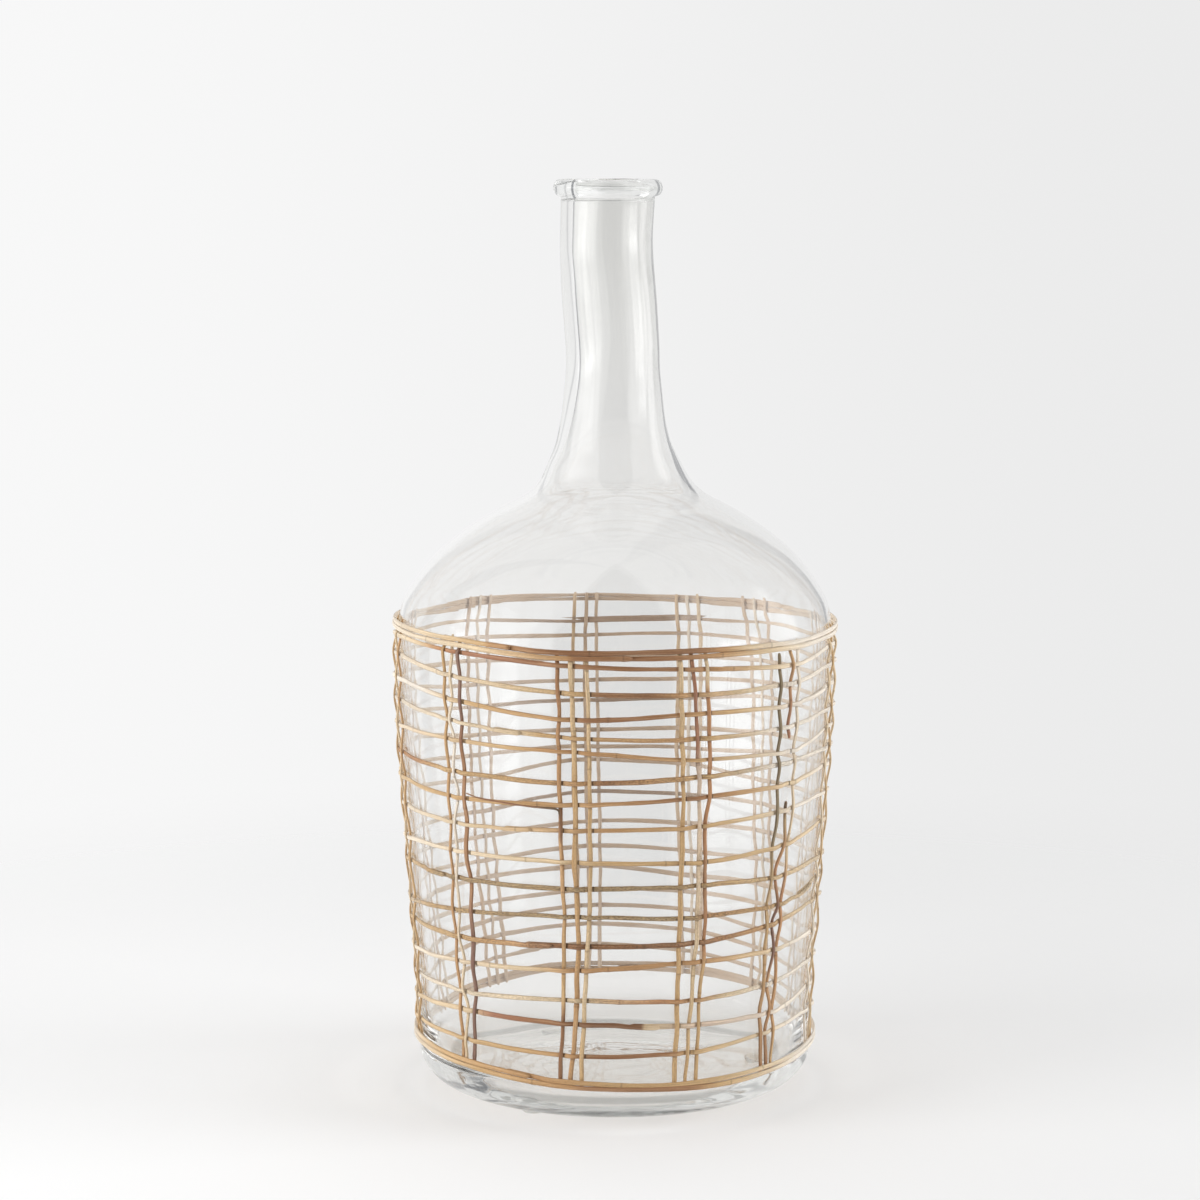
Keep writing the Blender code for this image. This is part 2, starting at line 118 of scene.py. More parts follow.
# Glass bottle, inside
NECK_WALL = 0.0046
SHOULDER_WALL = 0.0042
BODY_WALL = 0.0032
HEEL_WALL = 0.0045
FLOOR_THICK = 0.0100
FLOOR_RISE = 0.0070
INNER_HEEL_WIDTH = 0.020
INNER_HEEL_HEIGHT = 0.018
BORE_SHIFT = 0.0026

# Glass mesh and its unevenness
GLASS_SIDES = 160
GLASS_STEP = 0.003
OUTER_WAVE = 0.00012
INNER_WAVE = 0.00017
NECK_WAVE = 0.0007
SWIRL_DEPTH = 0.00012
SWIRL_PITCH = 0.009
SWIRL_RADIUS = 0.075
SWIRL_WARP = 1.2
SWIRL_PATCHES = 2.2
WAVE_SCALE = (22, 22, 11)
NECK_STREAK_SCALE = (1.5, 1.5, 14)
WARP_SCALE = 16
RIPPLE_SCALE = 20
PATCH_SCALE = 45

# Colours of the glass as linear light, and the heights and distances from the axis between which they change.
# The darker tint by the floor paints a thin shadow line, and the lip's darker streaks are painted shade.
GLASS_TINT = (0.968, 0.967, 0.961, 1)
NECK_TINT = (0.89, 0.889, 0.877, 1)
LIP_TINT = (0.95, 0.952, 0.945, 1)
# Darker streaks in the lip glass are painted shade, for the dark that refraction of the surroundings shows in
# the thick lip.
LIP_STREAK = (0.8, 0.81, 0.795, 1)
LIP_EDGE = (-0.0005, 0.002)
LIP_STREAK_STRETCH = (45, 45, 420)
LIP_STREAK_EDGE = (0.53, 0.62)
HEEL_TINT = (0.91, 0.905, 0.885, 1)
HEEL_EDGE = (0.004, -0.006)
FILM_EDGE = (0.55, 0.8)
FILM_ROUGHNESS = 0.02
# Painted shadow: a darker tint on the heel's underside, for the thin dark line where the bottle meets the
# floor.
CONTACT_SHADOW_TINT = (0.42, 0.43, 0.42, 1)
CONTACT_HEIGHTS = (0.0065, 0.0045)
CONTACT_REACH = (0.087, 0.090)
GLASS_ABSORBS = (0.3, 0.36, 0.34, 1)
LAMPLIGHT_TINT = (0.98, 0.98, 0.978, 1)

# Rattan strands. STAKE_TOPS is how far each group stands above the top rim, as a share of STAKE_PROUD, and
# STAKE_CUT has the stakes that end elsewhere. A weaver lies on the glass from REST_ANGLE after a stake.
CANE_THICK = 0.0013
STAKE_WIDTH = 0.0023
WEAVER_WIDTH = 0.0025
RIM_WIDTH = 0.0028
RIM_SPACING = 0.0028
INNER_FACE = 0.0004
OUTER_FACE = 0.0019
RIM_FACE = 0.0022
STAKE_PROUD = 0.0012
STAKE_TOPS = (1, 0.4, 0, 0, -0.3, 0, 1, 1, 1, 1, 1, 1)
STAKE_CUT = {12: -5.4}
STAKE_TOP_WANDER = 0.6
WRAP_TOP = 0.2614
WRAP_HEIGHT = 0.2324
CANE_STEP = 0.002
CANE_SIDES = 12
CANE_CROWN = (0.8, 0.9)
LAP_ANGLE = 8
LAP_RISE = 4
RIM_RISE = 6
REST_ANGLE = 5
SPARE_ANGLE = 1
ROLL = 10
NODE_PITCH = 0.11
NODE_FIRST = (0.2, 1)
NODE_NEXT = (0.6, 1.4)
NODE_REACH = 0.0012
NODE_MARK = 0.4
MARK_REACH = 0.0007
# Painted shadows beside crossings: how dark a weaver is painted to the right and left of a stake that lies
# over it, how dark a stake is painted below a weaver or the top rim that lies over it, how far below in
# weaver widths, and by what share of a mark's reach the weaver's marks lie beyond the stake's edge.
RIGHT_SHADE = 0.95
LEFT_SHADE = 0.3
STAKE_SHADE = 0.45
STAKE_SHADE_DROP = 0.75
WEAVER_SHADE_REACH = 0.7
WIDE_WANDER = (0.1, 0.03)
FINE_WANDER = (0.06, 0.008)
THICK_WANDER = (0.08, 0.02)
ROLL_PITCH = 0.05
STAKE_WANDER = (0.16, 0.012)
LEVEL_WANDER = (0.0003, 0.03)
NODE_WIDER = 0.12
NODE_THICKER = 0.1
TRIMMED = 0.6
TRIM_LENGTH = 0.001
SLIVER_STEP = 0.001
SLIVER_THICK = 0.0007
SLIVER_TRIMMED = 0.5
SLIVER_TRIM_LENGTH = 0.002
SLIVER_WANDER = (0.2, 0.006)
SLIVER_SPECKLE = 0.5

# Grain of the rattan, and the shade painted onto it: colours as linear light, and how finely each kind
# repeats along, across and through it. The dark of the grain also paints shade along the strands' edges, the
# dark of the nodes also paints shadows beside crossings, and the pith is darkened in part as painted shade.
GRAIN_AND_SHADE_DARK = (0.09, 0.045, 0.022, 1)
GRAIN_LIGHT = (0.86, 0.72, 0.5, 1)
SPECK = (0.045, 0.032, 0.02, 1)
# Dark of the cane's nodes, also used for painted shadows beside crossings.
JOINT_AND_SHADOW = (0.05, 0.03, 0.018, 1)
# Pith colours, darkened in part as painted shade for the strands' inner faces, which face the glass.
PITH_LIGHT = (0.66, 0.53, 0.4, 1)
PITH_DARK = (0.5, 0.37, 0.26, 1)
FIBRE_SCALE = (90, 7, 5)
STREAK_SCALE = (28, 1.6, 1.3)
TONE_SCALE = (60, 0.6, 1)
SPOT_SCALE = (900, 2.2, 2)
FIBRE_EDGE = (0.48, 0.7)
STREAK_EDGE = (0.38, 0.68)
TONE_EDGE = (0.55, 0.8)
SPOT_EDGE = (0.47, 0.56)
# Share of the half width across a strand where the painted shade along its edges begins and where it is full.
SIDE_EDGE = (0.62, 1.0)
PITH_EDGE = (0.35, 0.7)
RIND_EDGE = (0.05, -0.35)

# Bumper feet
FOOT_HEIGHT = 0.0017
FOOT_RADIUS = 0.0066
FOOT_SIDES = 48
FOOT_RING = 0.0815
FOOT_ANGLES = (-33, 87, 207)

# Heights that follow from the sizes above
HEEL_TOP = GLASS_BASE + HEEL_HEIGHT
SHOULDER_BASE = HEEL_TOP + BODY_HEIGHT
NECK_BASE = SHOULDER_BASE + SHOULDER_HEIGHT
LIP_BASE = NECK_BASE + NECK_HEIGHT
FLOOR_TOP = GLASS_BASE + FLOOR_THICK
INNER_HEEL_TOP = FLOOR_TOP + INNER_HEEL_HEIGHT
CONTACT_RADIUS = BASE_RADIUS - HEEL_WIDTH

# Outline of the body: share of its height, share of the widening from base to shoulder
BODY_SHARES = (
    (0, 0), (0.15, 0.01), (0.22, 0.07), (0.3, 0.19), (0.45, 0.39),
    (0.6, 0.6), (0.75, 0.82), (0.9, 0.98), (1, 1),
)

# Outline of the shoulder: share of its height, share of the narrowing that is still to come
SHOULDER_SHARES = (
    (0.1, 0.995), (0.22, 0.975), (0.365, 0.89), (0.51, 0.76), (0.65, 0.575),
    (0.75, 0.4), (0.825, 0.25), (0.895, 0.17), (1, 0.113),
)

# Outline of the neck: share of its height, share of the neck's radius
NECK_SHARES = ((0.08, 1.22), (0.16, 1.12), (0.25, 1.06), (0.38, 1), (0.6, 1.01), (0.85, 0.985), (1, 1))

# Lean of the axis to the left: share of the height of shoulder and neck, share of the whole lean
LEAN_SHARES = (
    (0.08, 0), (0.27, -0.15), (0.32, -0.22), (0.41, 0.06), (0.5, 0.23),
    (0.64, 0.25), (0.73, 0.5), (0.82, 0.83), (0.9, 1), (1, 0.83),
)

# Sideways shift of the neck's bore: share of the neck's height, share of the shift
BORE_SHARES = ((0, 0), (0.12, 0.4), (0.35, 1), (0.5, 1.1), (0.66, 1.05), (0.8, 0.7), (1, 0.72))

# Route of each stake in front: share of the wrap's height from its top, angle. Groups of three.
FRONT_ROUTES = (
    ((0, -82.5), (0.15, -81.8), (0.3, -83.8), (0.45, -83.2), (0.6, -84.3), (0.75, -83.1), (1, -83.8)),
    ((0, -78.5), (0.12, -77.6), (0.3, -79.6), (0.5, -79), (0.7, -80.1), (1, -79.6)),
    ((0, -74.5), (0.2, -74), (0.36, -76.1), (0.55, -75.3), (0.8, -76.3), (1, -76)),
    ((0, -48.6), (0.09, -48.2), (0.17, -47.5), (0.25, -48), (0.4, -48.3), (0.65, -49.2), (0.8, -48.7),
     (1, -48)),
    ((0, -45.6), (0.13, -45.5), (0.17, -46), (0.22, -45.2), (0.3, -45.5), (0.34, -44.8), (0.43, -46.3),
     (0.55, -46.7), (0.68, -47.3), (0.75, -46.1), (0.81, -47), (0.85, -45.8), (1, -46.5)),
    ((0, -42.9), (0.09, -42.5), (0.16, -42.1), (0.36, -42), (0.5, -42.4), (0.57, -41.9), (0.8, -42.4),
     (1, -43.7)),
    ((0, -14.7), (0.12, -14.2), (0.42, -14.2), (0.61, -13.7), (0.8, -14.2), (1, -15.3)),
    ((0, -11.2), (0.19, -10.4), (0.29, -10.2), (0.5, -10.5), (0.67, -10), (0.84, -10.8), (1, -12.5)),
    ((0, -7.2), (0.19, -6.7), (0.5, -6.5), (0.63, -7), (0.76, -8), (1, -9.5)),
    ((0, 15.9), (0.16, 16.3), (0.42, 17.3), (0.67, 17.1), (0.84, 17), (1, 16.4)),
    ((0, 18.7), (0.1, 19.8), (0.23, 20.6), (0.36, 21.6), (0.63, 22), (0.82, 21), (1, 19.5)),
    ((0, 22.5), (0.14, 23.4), (0.27, 24.2), (0.33, 24.4), (0.4, 23.4), (0.52, 23.8), (0.69, 24.3),
     (0.82, 23.4), (1, 22.8)),
    ((0, 45.6), (0.21, 45.8), (0.4, 46.5), (0.5, 46), (0.67, 45), (0.74, 45.3), (0.93, 44.3), (1, 45.3)),
    ((0, 49.6), (0.06, 50.2), (0.19, 49.3), (0.23, 50), (0.46, 50.4), (0.54, 47.9), (0.62, 48.9),
     (0.66, 47.5), (0.72, 48.3), (0.82, 47.2), (0.86, 48), (0.91, 47.1), (1, 47.3)),
    ((0, 53.3), (0.16, 52.8), (0.26, 52.3), (0.31, 52.8), (0.4, 53.2), (0.51, 52), (0.63, 51),
     (0.76, 50.2), (1, 49.6)),
    ((0, 73), (0.12, 71.6), (0.19, 71.1), (0.33, 72.2), (0.45, 73.2), (0.51, 71.7), (0.58, 73.7),
     (0.62, 71.2), (0.72, 73.1), (0.77, 70.9), (0.85, 72.3), (0.89, 70.7), (1, 72.3)),
    ((0, 77), (0.14, 74.6), (0.25, 76.6), (0.33, 74.7), (0.46, 77.7), (0.57, 75.7), (0.76, 74.6),
     (0.87, 74.8), (1, 76.8)),
    ((0, 81.5), (0.09, 79.5), (0.19, 79.6), (0.57, 80.7), (0.71, 81.1), (0.76, 78.2), (0.86, 80.3),
     (1, 79.8)),
)

# Angles of each stake behind, at the same shares of the wrap's height
BACK_SHARES = (0, 0.23, 0.48, 0.74, 1)
BACK_ANGLES = (
    (100.5, 100, 100.3, 101, 104.4),
    (104, 103.6, 103.7, 104.4, 107.8),
    (107.4, 107.2, 107.3, 107.8, 111.2),
    (132.4, 129.2, 127.8, 124.8, 126.4),
    (136.4, 133, 131, 127.8, 129.4),
    (140.4, 136.7, 134.3, 131, 132.6),
    (155.4, 154.6, 154, 152.5, 151.6),
    (158.8, 158, 157.5, 155.8, 154.8),
    (162.1, 161.5, 161, 159.4, 158),
    (185, 184.8, 184.8, 184, 184.2),
    (188.1, 188.3, 188.4, 187.4, 187.4),
    (191.4, 192, 192.2, 190.9, 190.6),
    (217.7, 218.5, 219, 218.4, 216.6),
    (221.3, 222.3, 222.7, 222, 219.6),
    (225.2, 225.9, 226.4, 225.3, 222.8),
    (254.5, 254.3, 252.5, 247.6, 243.8),
    (258, 258.1, 256.3, 251.2, 246.9),
    (261.5, 261.7, 259.9, 254.7, 250),
)
STAKE_ROUTES = FRONT_ROUTES + tuple(tuple(zip(BACK_SHARES, angles)) for angles in BACK_ANGLES)
STAKES_IN_GROUP = 3
STAKE_WIDTH_SHARES = (
    1, 0.95, 1, 0.88, 0.85, 1.2, 1.0, 1.2, 0.98, 1.15, 0.96, 0.96,
    1.05, 0.96, 0.92, 1, 0.94, 1, 0.9, 1, 1.05, 1, 0.9, 1,
    1.05, 0.95, 1, 1, 1.1, 0.95, 1, 0.9, 1.05, 0.95, 1, 0.9,
)

# Mean level of each weaver: share of the wrap's height from its top
LEVEL_SHARES = (
    0.038, 0.089, 0.144, 0.195, 0.237, 0.297, 0.356, 0.415,
    0.483, 0.551, 0.623, 0.686, 0.742, 0.814, 0.873, 0.936,
)
WEAVER_WIDTH_SHARES = (1, 1.05, 1.05, 0.95, 0.9, 1.05, 1, 0.95, 1, 1.05, 1, 1.15, 1.05, 1, 1.05, 0.95)

# How far each strand sags below its mean level at each group of stakes, in hundredths of the weavers' spacing
GROUP_ANGLES = (-79, -46.5, -10.5, 21.9, 50, 77.6, 103.7, 131, 157.5, 188.4, 222.7, 256.3)
TOP_RIM_SAGS = (-15, -5, 17, 16, 15, 3, -3, -12, -11, -20, -20, -14)
WEAVER_SAGS = (
    (-41, -33, -5, 12, 30, -6, 17, -3, -8, 7, -7, -5),
    (-54, -24, 13, 23, 17, -22, 24, 1, -10, 3, -10, -21),
    (-51, -24, 21, 5, 9, -36, 0, -4, 5, 15, 4, -24),
    (-52, -27, 6, 16, 7, -23, 2, 0, 15, 30, 19, -29),
    (-17, -20, -10, 27, 36, -17, -2, -9, 30, 45, 39, -2),
    (-5, 2, 10, -5, -21, -35, 23, 44, 55, 75, 58, 8),
    (-2, 9, -4, -26, -36, -60, 2, 23, 45, 45, 45, 10),
    (10, 10, -3, -11, -30, -48, 34, 45, 15, 5, 49, 13),
    (30, 11, 9, 18, -4, -44, 47, 30, 30, 30, 75, 59),
    (8, 5, -1, -7, 5, -14, 38, 31, 40, 45, 70, 46),
    (48, 14, -13, 0, -1, -54, 20, 30, 40, 30, 54, 28),
    (23, 17, -1, -6, -34, -76, 30, 31, 40, 10, 20, 20),
    (45, 23, 2, -22, -21, -33, 35, 19, 17, 20, 35, 32),
    (31, 22, 1, 11, -7, -44, 17, 4, -25, -35, -8, 20),
    (26, -2, -4, 13, 13, -32, 14, -10, -35, -55, -35, 8),
    (15, 9, 19, 11, -17, -36, 4, -25, -50, -72, -45, -2),
)
BOTTOM_RIM_SAGS = (-20, -6, 24, 34, 21, -2, -7, -64, -75, -80, -58, -16)
WEAVER_SPACING = WRAP_HEIGHT / (len(LEVEL_SHARES) + 1)

# Angle at which each strand starts, and is lapped over by its own end
WEAVER_LAPS = (27, 236, 60, -32, 202, 234, 262, -30, 204, -60, 60, -25, 172, 236, 4, 204)

# Colours of rattan as red, green and blue of a screen. Where the tables below make the strands paler at the
# sides and behind, these colours stand in part for painted light and painted glare.
STRAW = (0.91, 0.81, 0.66)
PALE = (0.975, 0.935, 0.875)
GOLD = (0.83, 0.68, 0.48)
HONEY = (0.78, 0.60, 0.41)
ORANGE = (0.76, 0.545, 0.37)
BROWN = (0.645, 0.46, 0.31)
UMBER = (0.59, 0.41, 0.27)
RED = (0.65, 0.44, 0.33)
PLUM = (0.50, 0.36, 0.31)
WALNUT = (0.52, 0.355, 0.235)
DARK = (0.33, 0.25, 0.18)
OLIVE = (0.72, 0.61, 0.45)
MOSS = (0.50, 0.44, 0.33)
BLUSH = (0.88, 0.785, 0.70)
# A muted colour for the middle of the back.
MUTED = (0.75, 0.64, 0.555)
DUSK = (0.50, 0.37, 0.31)

# Colour of each stake: (share of the wrap's height from its top, colour) where it changes. The stakes near
# the sides and behind are paler: partly their own tone, partly painted light on the sides that face the lamps
# and painted glare from the glass in front of those behind.
STAKE_COLOURS = (
    ((0, GOLD),), ((0, STRAW),), ((0, HONEY), (0.6, GOLD)),
    ((0, GOLD), (0.5, HONEY)), ((0, STRAW), (0.3, PALE), (1, STRAW)),
    ((0, DUSK), (0.16, PLUM), (0.28, BROWN), (0.6, BROWN), (0.7, PLUM), (1, PLUM)),
    ((0, BROWN), (0.35, HONEY), (0.37, UMBER), (0.44, HONEY), (0.82, GOLD), (0.86, UMBER)),
    ((0, STRAW), (0.3, GOLD), (1, HONEY)), ((0, STRAW), (0.4, GOLD), (0.8, STRAW), (1, GOLD)),
    ((0, STRAW), (0.3, GOLD), (1, GOLD)),
    ((0, HONEY), (0.04, RED), (0.22, RED), (0.27, BLUSH), (0.7, STRAW), (1, GOLD)),
    ((0, STRAW), (0.07, STRAW), (0.11, ORANGE), (0.45, ORANGE), (0.5, BROWN), (0.7, ORANGE), (0.75, GOLD)),
    ((0, MOSS), (0.42, MOSS), (0.52, OLIVE), (0.7, GOLD), (1, BROWN)),
    ((0, GOLD), (0.21, RED), (0.37, HONEY), (0.38, DARK), (0.42, OLIVE), (0.52, ORANGE), (0.6, UMBER),
     (0.63, PLUM), (0.74, PLUM), (0.8, HONEY), (1, BROWN)),
    ((0, PALE), (0.5, STRAW), (0.6, ORANGE), (0.9, HONEY), (1, GOLD)),
    ((0, STRAW), (1, PALE)), ((0, GOLD), (1, STRAW)), ((0, STRAW), (1, GOLD)),
    # Stakes behind, paler partly as painted glare from the glass in front of them.
    ((0, PALE),), ((0, BLUSH),), ((0, PALE),),
    ((0, BLUSH),), ((0, PALE),), ((0, BLUSH),),
    ((0, STRAW), (1, BLUSH)), ((0, PALE),), ((0, GOLD), (1, BLUSH)),
    ((0, BLUSH),), ((0, MUTED), (1, BLUSH)), ((0, GOLD), (1, MUTED)),
    ((0, BLUSH),), ((0, PALE), (1, BLUSH)), ((0, MUTED), (1, BLUSH)),
    ((0, PALE),), ((0, BLUSH),), ((0, PALE),),
)

# The lifted sliver: (angle, height, distance out, width, colour) along it
SLIVER = (
    (-41, 0.1814, 0.0036, 0.0007, BROWN), (-37, 0.1798, 0.0036, 0.0008, UMBER),
    (-30, 0.1788, 0.0034, 0.0009, RED), (-22, 0.1778, 0.0034, 0.0010, UMBER),
    (-15.3, 0.1774, 0.0036, 0.0011, DARK), (-14.2, 0.1764, 0.0040, 0.0012, DARK),
    (-14.0, 0.1726, 0.0040, 0.0012, UMBER), (-13.9, 0.1586, 0.0036, 0.0010, BROWN),
)

# Stretches where a stake is broken off, as shares of the wrap's height from its top
STAKE_GAPS = {13: ((0.225, 0.375),)}

# How speckled the strands are. WEAVER_SPECKLES has the darker weavers.
STAKE_SPECKLE = 0.25
LEVEL_SPECKLE = 0.15
WEAVER_SPECKLES = {9: 0.6, 10: 0.7, 11: 0.5, 5: 0.5, 13: 0.4, 1: 0.3, 3: 0.3}

# Colour of each weaver: (angle, colour) where it changes, from the left side round by the front. The colours
# run paler towards the sides and browner in front: partly the cane's own tone, partly painted light on the
# sides that face the lamps and painted shade on the front. WEAVER_BACKS has those that aren't the muted
# colour in the middle of the back.
WEAVER_COLOURS = (
    ((-90, PALE), (-60, STRAW), (-50, ORANGE), (-38, RED), (-15, BROWN), (15, BROWN), (26, HONEY),
     (40, STRAW), (60, PALE)),
    ((-90, PALE), (-30, STRAW), (-8, GOLD), (-4, BROWN), (8, UMBER), (16, HONEY), (34, STRAW), (50, PALE)),
    ((-90, PALE), (-58, PALE), (-38, GOLD), (-12, HONEY), (-8, BROWN), (10, BROWN), (18, HONEY), (30, GOLD),
     (50, PALE)),
    ((-90, PALE), (-24, STRAW), (-19, GOLD), (14, HONEY), (24, GOLD), (45, PALE)),
    ((-90, PALE), (-25, GOLD), (-19, HONEY), (10, HONEY), (24, GOLD), (50, PALE)),
    ((-90, HONEY), (-66, ORANGE), (-52, GOLD), (-30, GOLD), (-6, HONEY), (-3, BROWN), (8, HONEY),
     (24, GOLD), (45, PALE)),
    ((-90, STRAW), (-50, GOLD), (0, HONEY), (20, BROWN), (30, HONEY), (50, STRAW), (70, PALE)),
    ((-90, PALE), (-40, STRAW), (0, HONEY), (24, GOLD), (40, STRAW), (55, PALE)),
    ((-90, PALE), (-20, STRAW), (0, GOLD), (24, GOLD), (60, STRAW)),
    ((-90, STRAW), (-58, GOLD), (-56, OLIVE), (15, OLIVE), (28, GOLD), (60, STRAW)),
    ((-90, PALE), (-60, GOLD), (-30, OLIVE), (20, OLIVE), (26, HONEY), (45, GOLD), (60, STRAW)),
    ((-90, STRAW), (-50, GOLD), (-28, HONEY), (-22, BROWN), (-8, UMBER), (14, UMBER), (24, BROWN),
     (40, HONEY), (60, STRAW)),
    ((-90, PALE), (-24, STRAW), (-12, HONEY), (24, HONEY), (45, STRAW), (60, PALE)),
    ((-90, PALE), (-10, STRAW), (12, ORANGE), (22, HONEY), (32, STRAW), (50, PALE)),
    ((-90, STRAW), (-44, STRAW), (-36, RED), (-20, BROWN), (-6, WALNUT), (7, WALNUT), (8, STRAW),
     (24, BLUSH), (60, PALE)),
    ((-90, STRAW), (-30, GOLD), (-12, HONEY), (-6, UMBER), (14, BROWN), (20, GOLD), (40, STRAW), (60, PALE)),
)
WEAVER_BACKS = {0: DUSK, 4: DUSK, 8: DUSK}

# Rim strands: level, sags, which side of the rim's middle, angle of the lap, colours as above. Their colours
# also run paler towards the sides and browner in front, partly as painted light and shade.
RIMS = {
    "top_rim_upper": (0, TOP_RIM_SAGS, 1, -34, (
        (-90, PALE), (-50, STRAW), (-34, GOLD), (-33, HONEY), (-16, UMBER), (20, UMBER), (27, HONEY),
        (34, STRAW), (50, PALE),
    )),
    "top_rim_lower": (0, TOP_RIM_SAGS, -1, -4, (
        (-90, PALE), (-35, STRAW), (-12, HONEY), (-10, BROWN), (14, BROWN), (26, HONEY), (40, STRAW),
        (60, PALE),
    )),
    "bottom_rim_upper": (1, BOTTOM_RIM_SAGS, 1, -32, (
        (-90, PALE), (-55, GOLD), (-20, HONEY), (0, GOLD), (20, GOLD), (45, STRAW), (65, PALE),
    )),
    "bottom_rim_lower": (1, BOTTOM_RIM_SAGS, -1, 171, (
        (-90, PALE), (-40, GOLD), (-12, HONEY), (-8, BROWN), (20, BROWN), (30, GOLD), (60, PALE),
    )),
}

# Angles of the level strands' colours behind: PALE, BLUSH and a middle colour of their own, and back. The
# paler colours towards the sides behind are partly the cane's own tone, partly painted glare from the glass
# in front of them.
BACK_COLOUR_ANGLES = (108, 135, 158, 202, 226, 254)


def along(knots, at):
    """Value at one place on a smooth curve through knots of (place, value) that never overshoots them."""
    at = min(max(at, knots[0][0]), knots[-1][0])
    right = next((i for i, knot in enumerate(knots) if knot[0] > at), len(knots) - 1)
    left = right - 1
    rises = [(b[1] - a[1]) / (b[0] - a[0]) for a, b in zip(knots, knots[1:])]

    def slope(i):
        if i == 0 or i == len(knots) - 1:
            return rises[min(i, len(rises) - 1)]
        before, after = rises[i - 1], rises[i]
        return 2 * before * after / (before + after) if before * after > 0 else 0

    width = knots[right][0] - knots[left][0]
    t = (at - knots[left][0]) / width
    return (
        knots[left][1] * (1 + 2 * t) * (1 - t) ** 2
        + slope(left) * width * t * (1 - t) ** 2
        + knots[right][1] * (3 - 2 * t) * t ** 2
        + slope(right) * width * (t - 1) * t ** 2
    )


def fade(low, high, at):
    """0 below low, 1 above high, and a smooth rise between."""
    t = min(max((at - low) / (high - low), 0), 1)
    return t * t * (3 - 2 * t)


def outline_knots():
    """(height, outer radius) of the glass from the top of the heel to the foot of the lip."""
    knots = []
    for up, out in BODY_SHARES:
        knots.append((HEEL_TOP + up * BODY_HEIGHT, BASE_RADIUS + out * (BODY_RADIUS - BASE_RADIUS)))
    for up, out in SHOULDER_SHARES:
        knots.append((SHOULDER_BASE + up * SHOULDER_HEIGHT, NECK_RADIUS + out * (BODY_RADIUS - NECK_RADIUS)))
    for up, out in NECK_SHARES:
        knots.append((NECK_BASE + up * NECK_HEIGHT, NECK_RADIUS * out))
    return knots


OUTLINE = outline_knots()
WALLS = (
    (INNER_HEEL_TOP, HEEL_WALL),
    (INNER_HEEL_TOP + INNER_HEEL_HEIGHT, BODY_WALL),
    (SHOULDER_BASE, BODY_WALL),
    (NECK_BASE, SHOULDER_WALL),
    (LIP_BASE, NECK_WALL),
)


def glass_radius(height):
    """Outer radius of the glass at a height."""
    return along(OUTLINE, height)


def glass_slope(height):
    """How fast the outer radius grows with height."""
    step = GLASS_STEP / 4
    return (glass_radius(height + step) - glass_radius(height - step)) / (2 * step)


def lean_at(height):
    """Sideways shift of the bottle's axis at a height."""
    share = (height - SHOULDER_BASE) / (SHOULDER_HEIGHT + NECK_HEIGHT)
    return -NECK_LEAN * along(LEAN_SHARES, share)


def arc(centre, width, height, start, end, steps):
    """Points of (radius, height) on an upright elliptical arc. Angles rise from outwards, in degrees."""
    turns = [math.radians(start + (end - start) * i / steps) for i in range(steps + 1)]
    return [(centre[0] + width * math.cos(t), centre[1] + height * math.sin(t)) for t in turns]


def dome(edge, rise, steps, inwards):
    """Points of (radius, height) on the smooth rise in the middle of the base."""
    shares = [i / steps for i in range(steps + 1)]
    if inwards:
        shares.reverse()
    return [(PUNT_RADIUS * s, edge + rise * (1 + math.cos(math.pi * s)) / 2) for s in shares]


def wall_heights():
    """Heights of the glass's rows from the top of the heel to the lip."""
    heights = []
    for (low, _), (high, _) in zip(OUTLINE, OUTLINE[1:]):
        steps = max(1, math.ceil((high - low) / GLASS_STEP))
        heights += [low + (high - low) * i / steps for i in range(steps)]
    return heights + [LIP_BASE]


def outer_rows():
    """Glass outline from the middle of the base up to the top of the lip."""
    rows = dome(GLASS_BASE, PUNT_HEIGHT, 24, False)
    rows += arc((CONTACT_RADIUS, HEEL_TOP), HEEL_WIDTH, HEEL_HEIGHT, -90, 0, 16)[:-1]
    rows += [(glass_radius(z), z) for z in wall_heights()]
    rows += arc((NECK_RADIUS, LIP_BASE + LIP_HEIGHT / 2), LIP_BEAD, LIP_HEIGHT / 2, -60, 90, 14)
    return rows


def inner_rows():
    """Glass outline from the mouth down the inside to the middle of the floor."""
    rows = arc((NECK_RADIUS, LIP_BASE + LIP_HEIGHT / 2), -NECK_WALL, LIP_HEIGHT / 2, 75, 0, 7)
    for z in reversed([z for z in wall_heights() if z > INNER_HEEL_TOP]):
        slope = glass_slope(z)
        run = math.hypot(1, slope)
        wall = along(WALLS, z)
        rows.append((glass_radius(z) - wall / run, z + wall * slope / run))
    centre = (glass_radius(INNER_HEEL_TOP) - HEEL_WALL - INNER_HEEL_WIDTH, INNER_HEEL_TOP)
    rows += arc(centre, INNER_HEEL_WIDTH, INNER_HEEL_HEIGHT, 0, -90, 14)
    rows += dome(FLOOR_TOP, FLOOR_RISE, 24, True)
    return rows


def flat_noise(point, scale, shift, layer):
    """Noise over the floor of the glass, pulled aside by a shift."""
    return noise.noise(Vector((point.x * scale + shift, point.y * scale - shift, layer)))


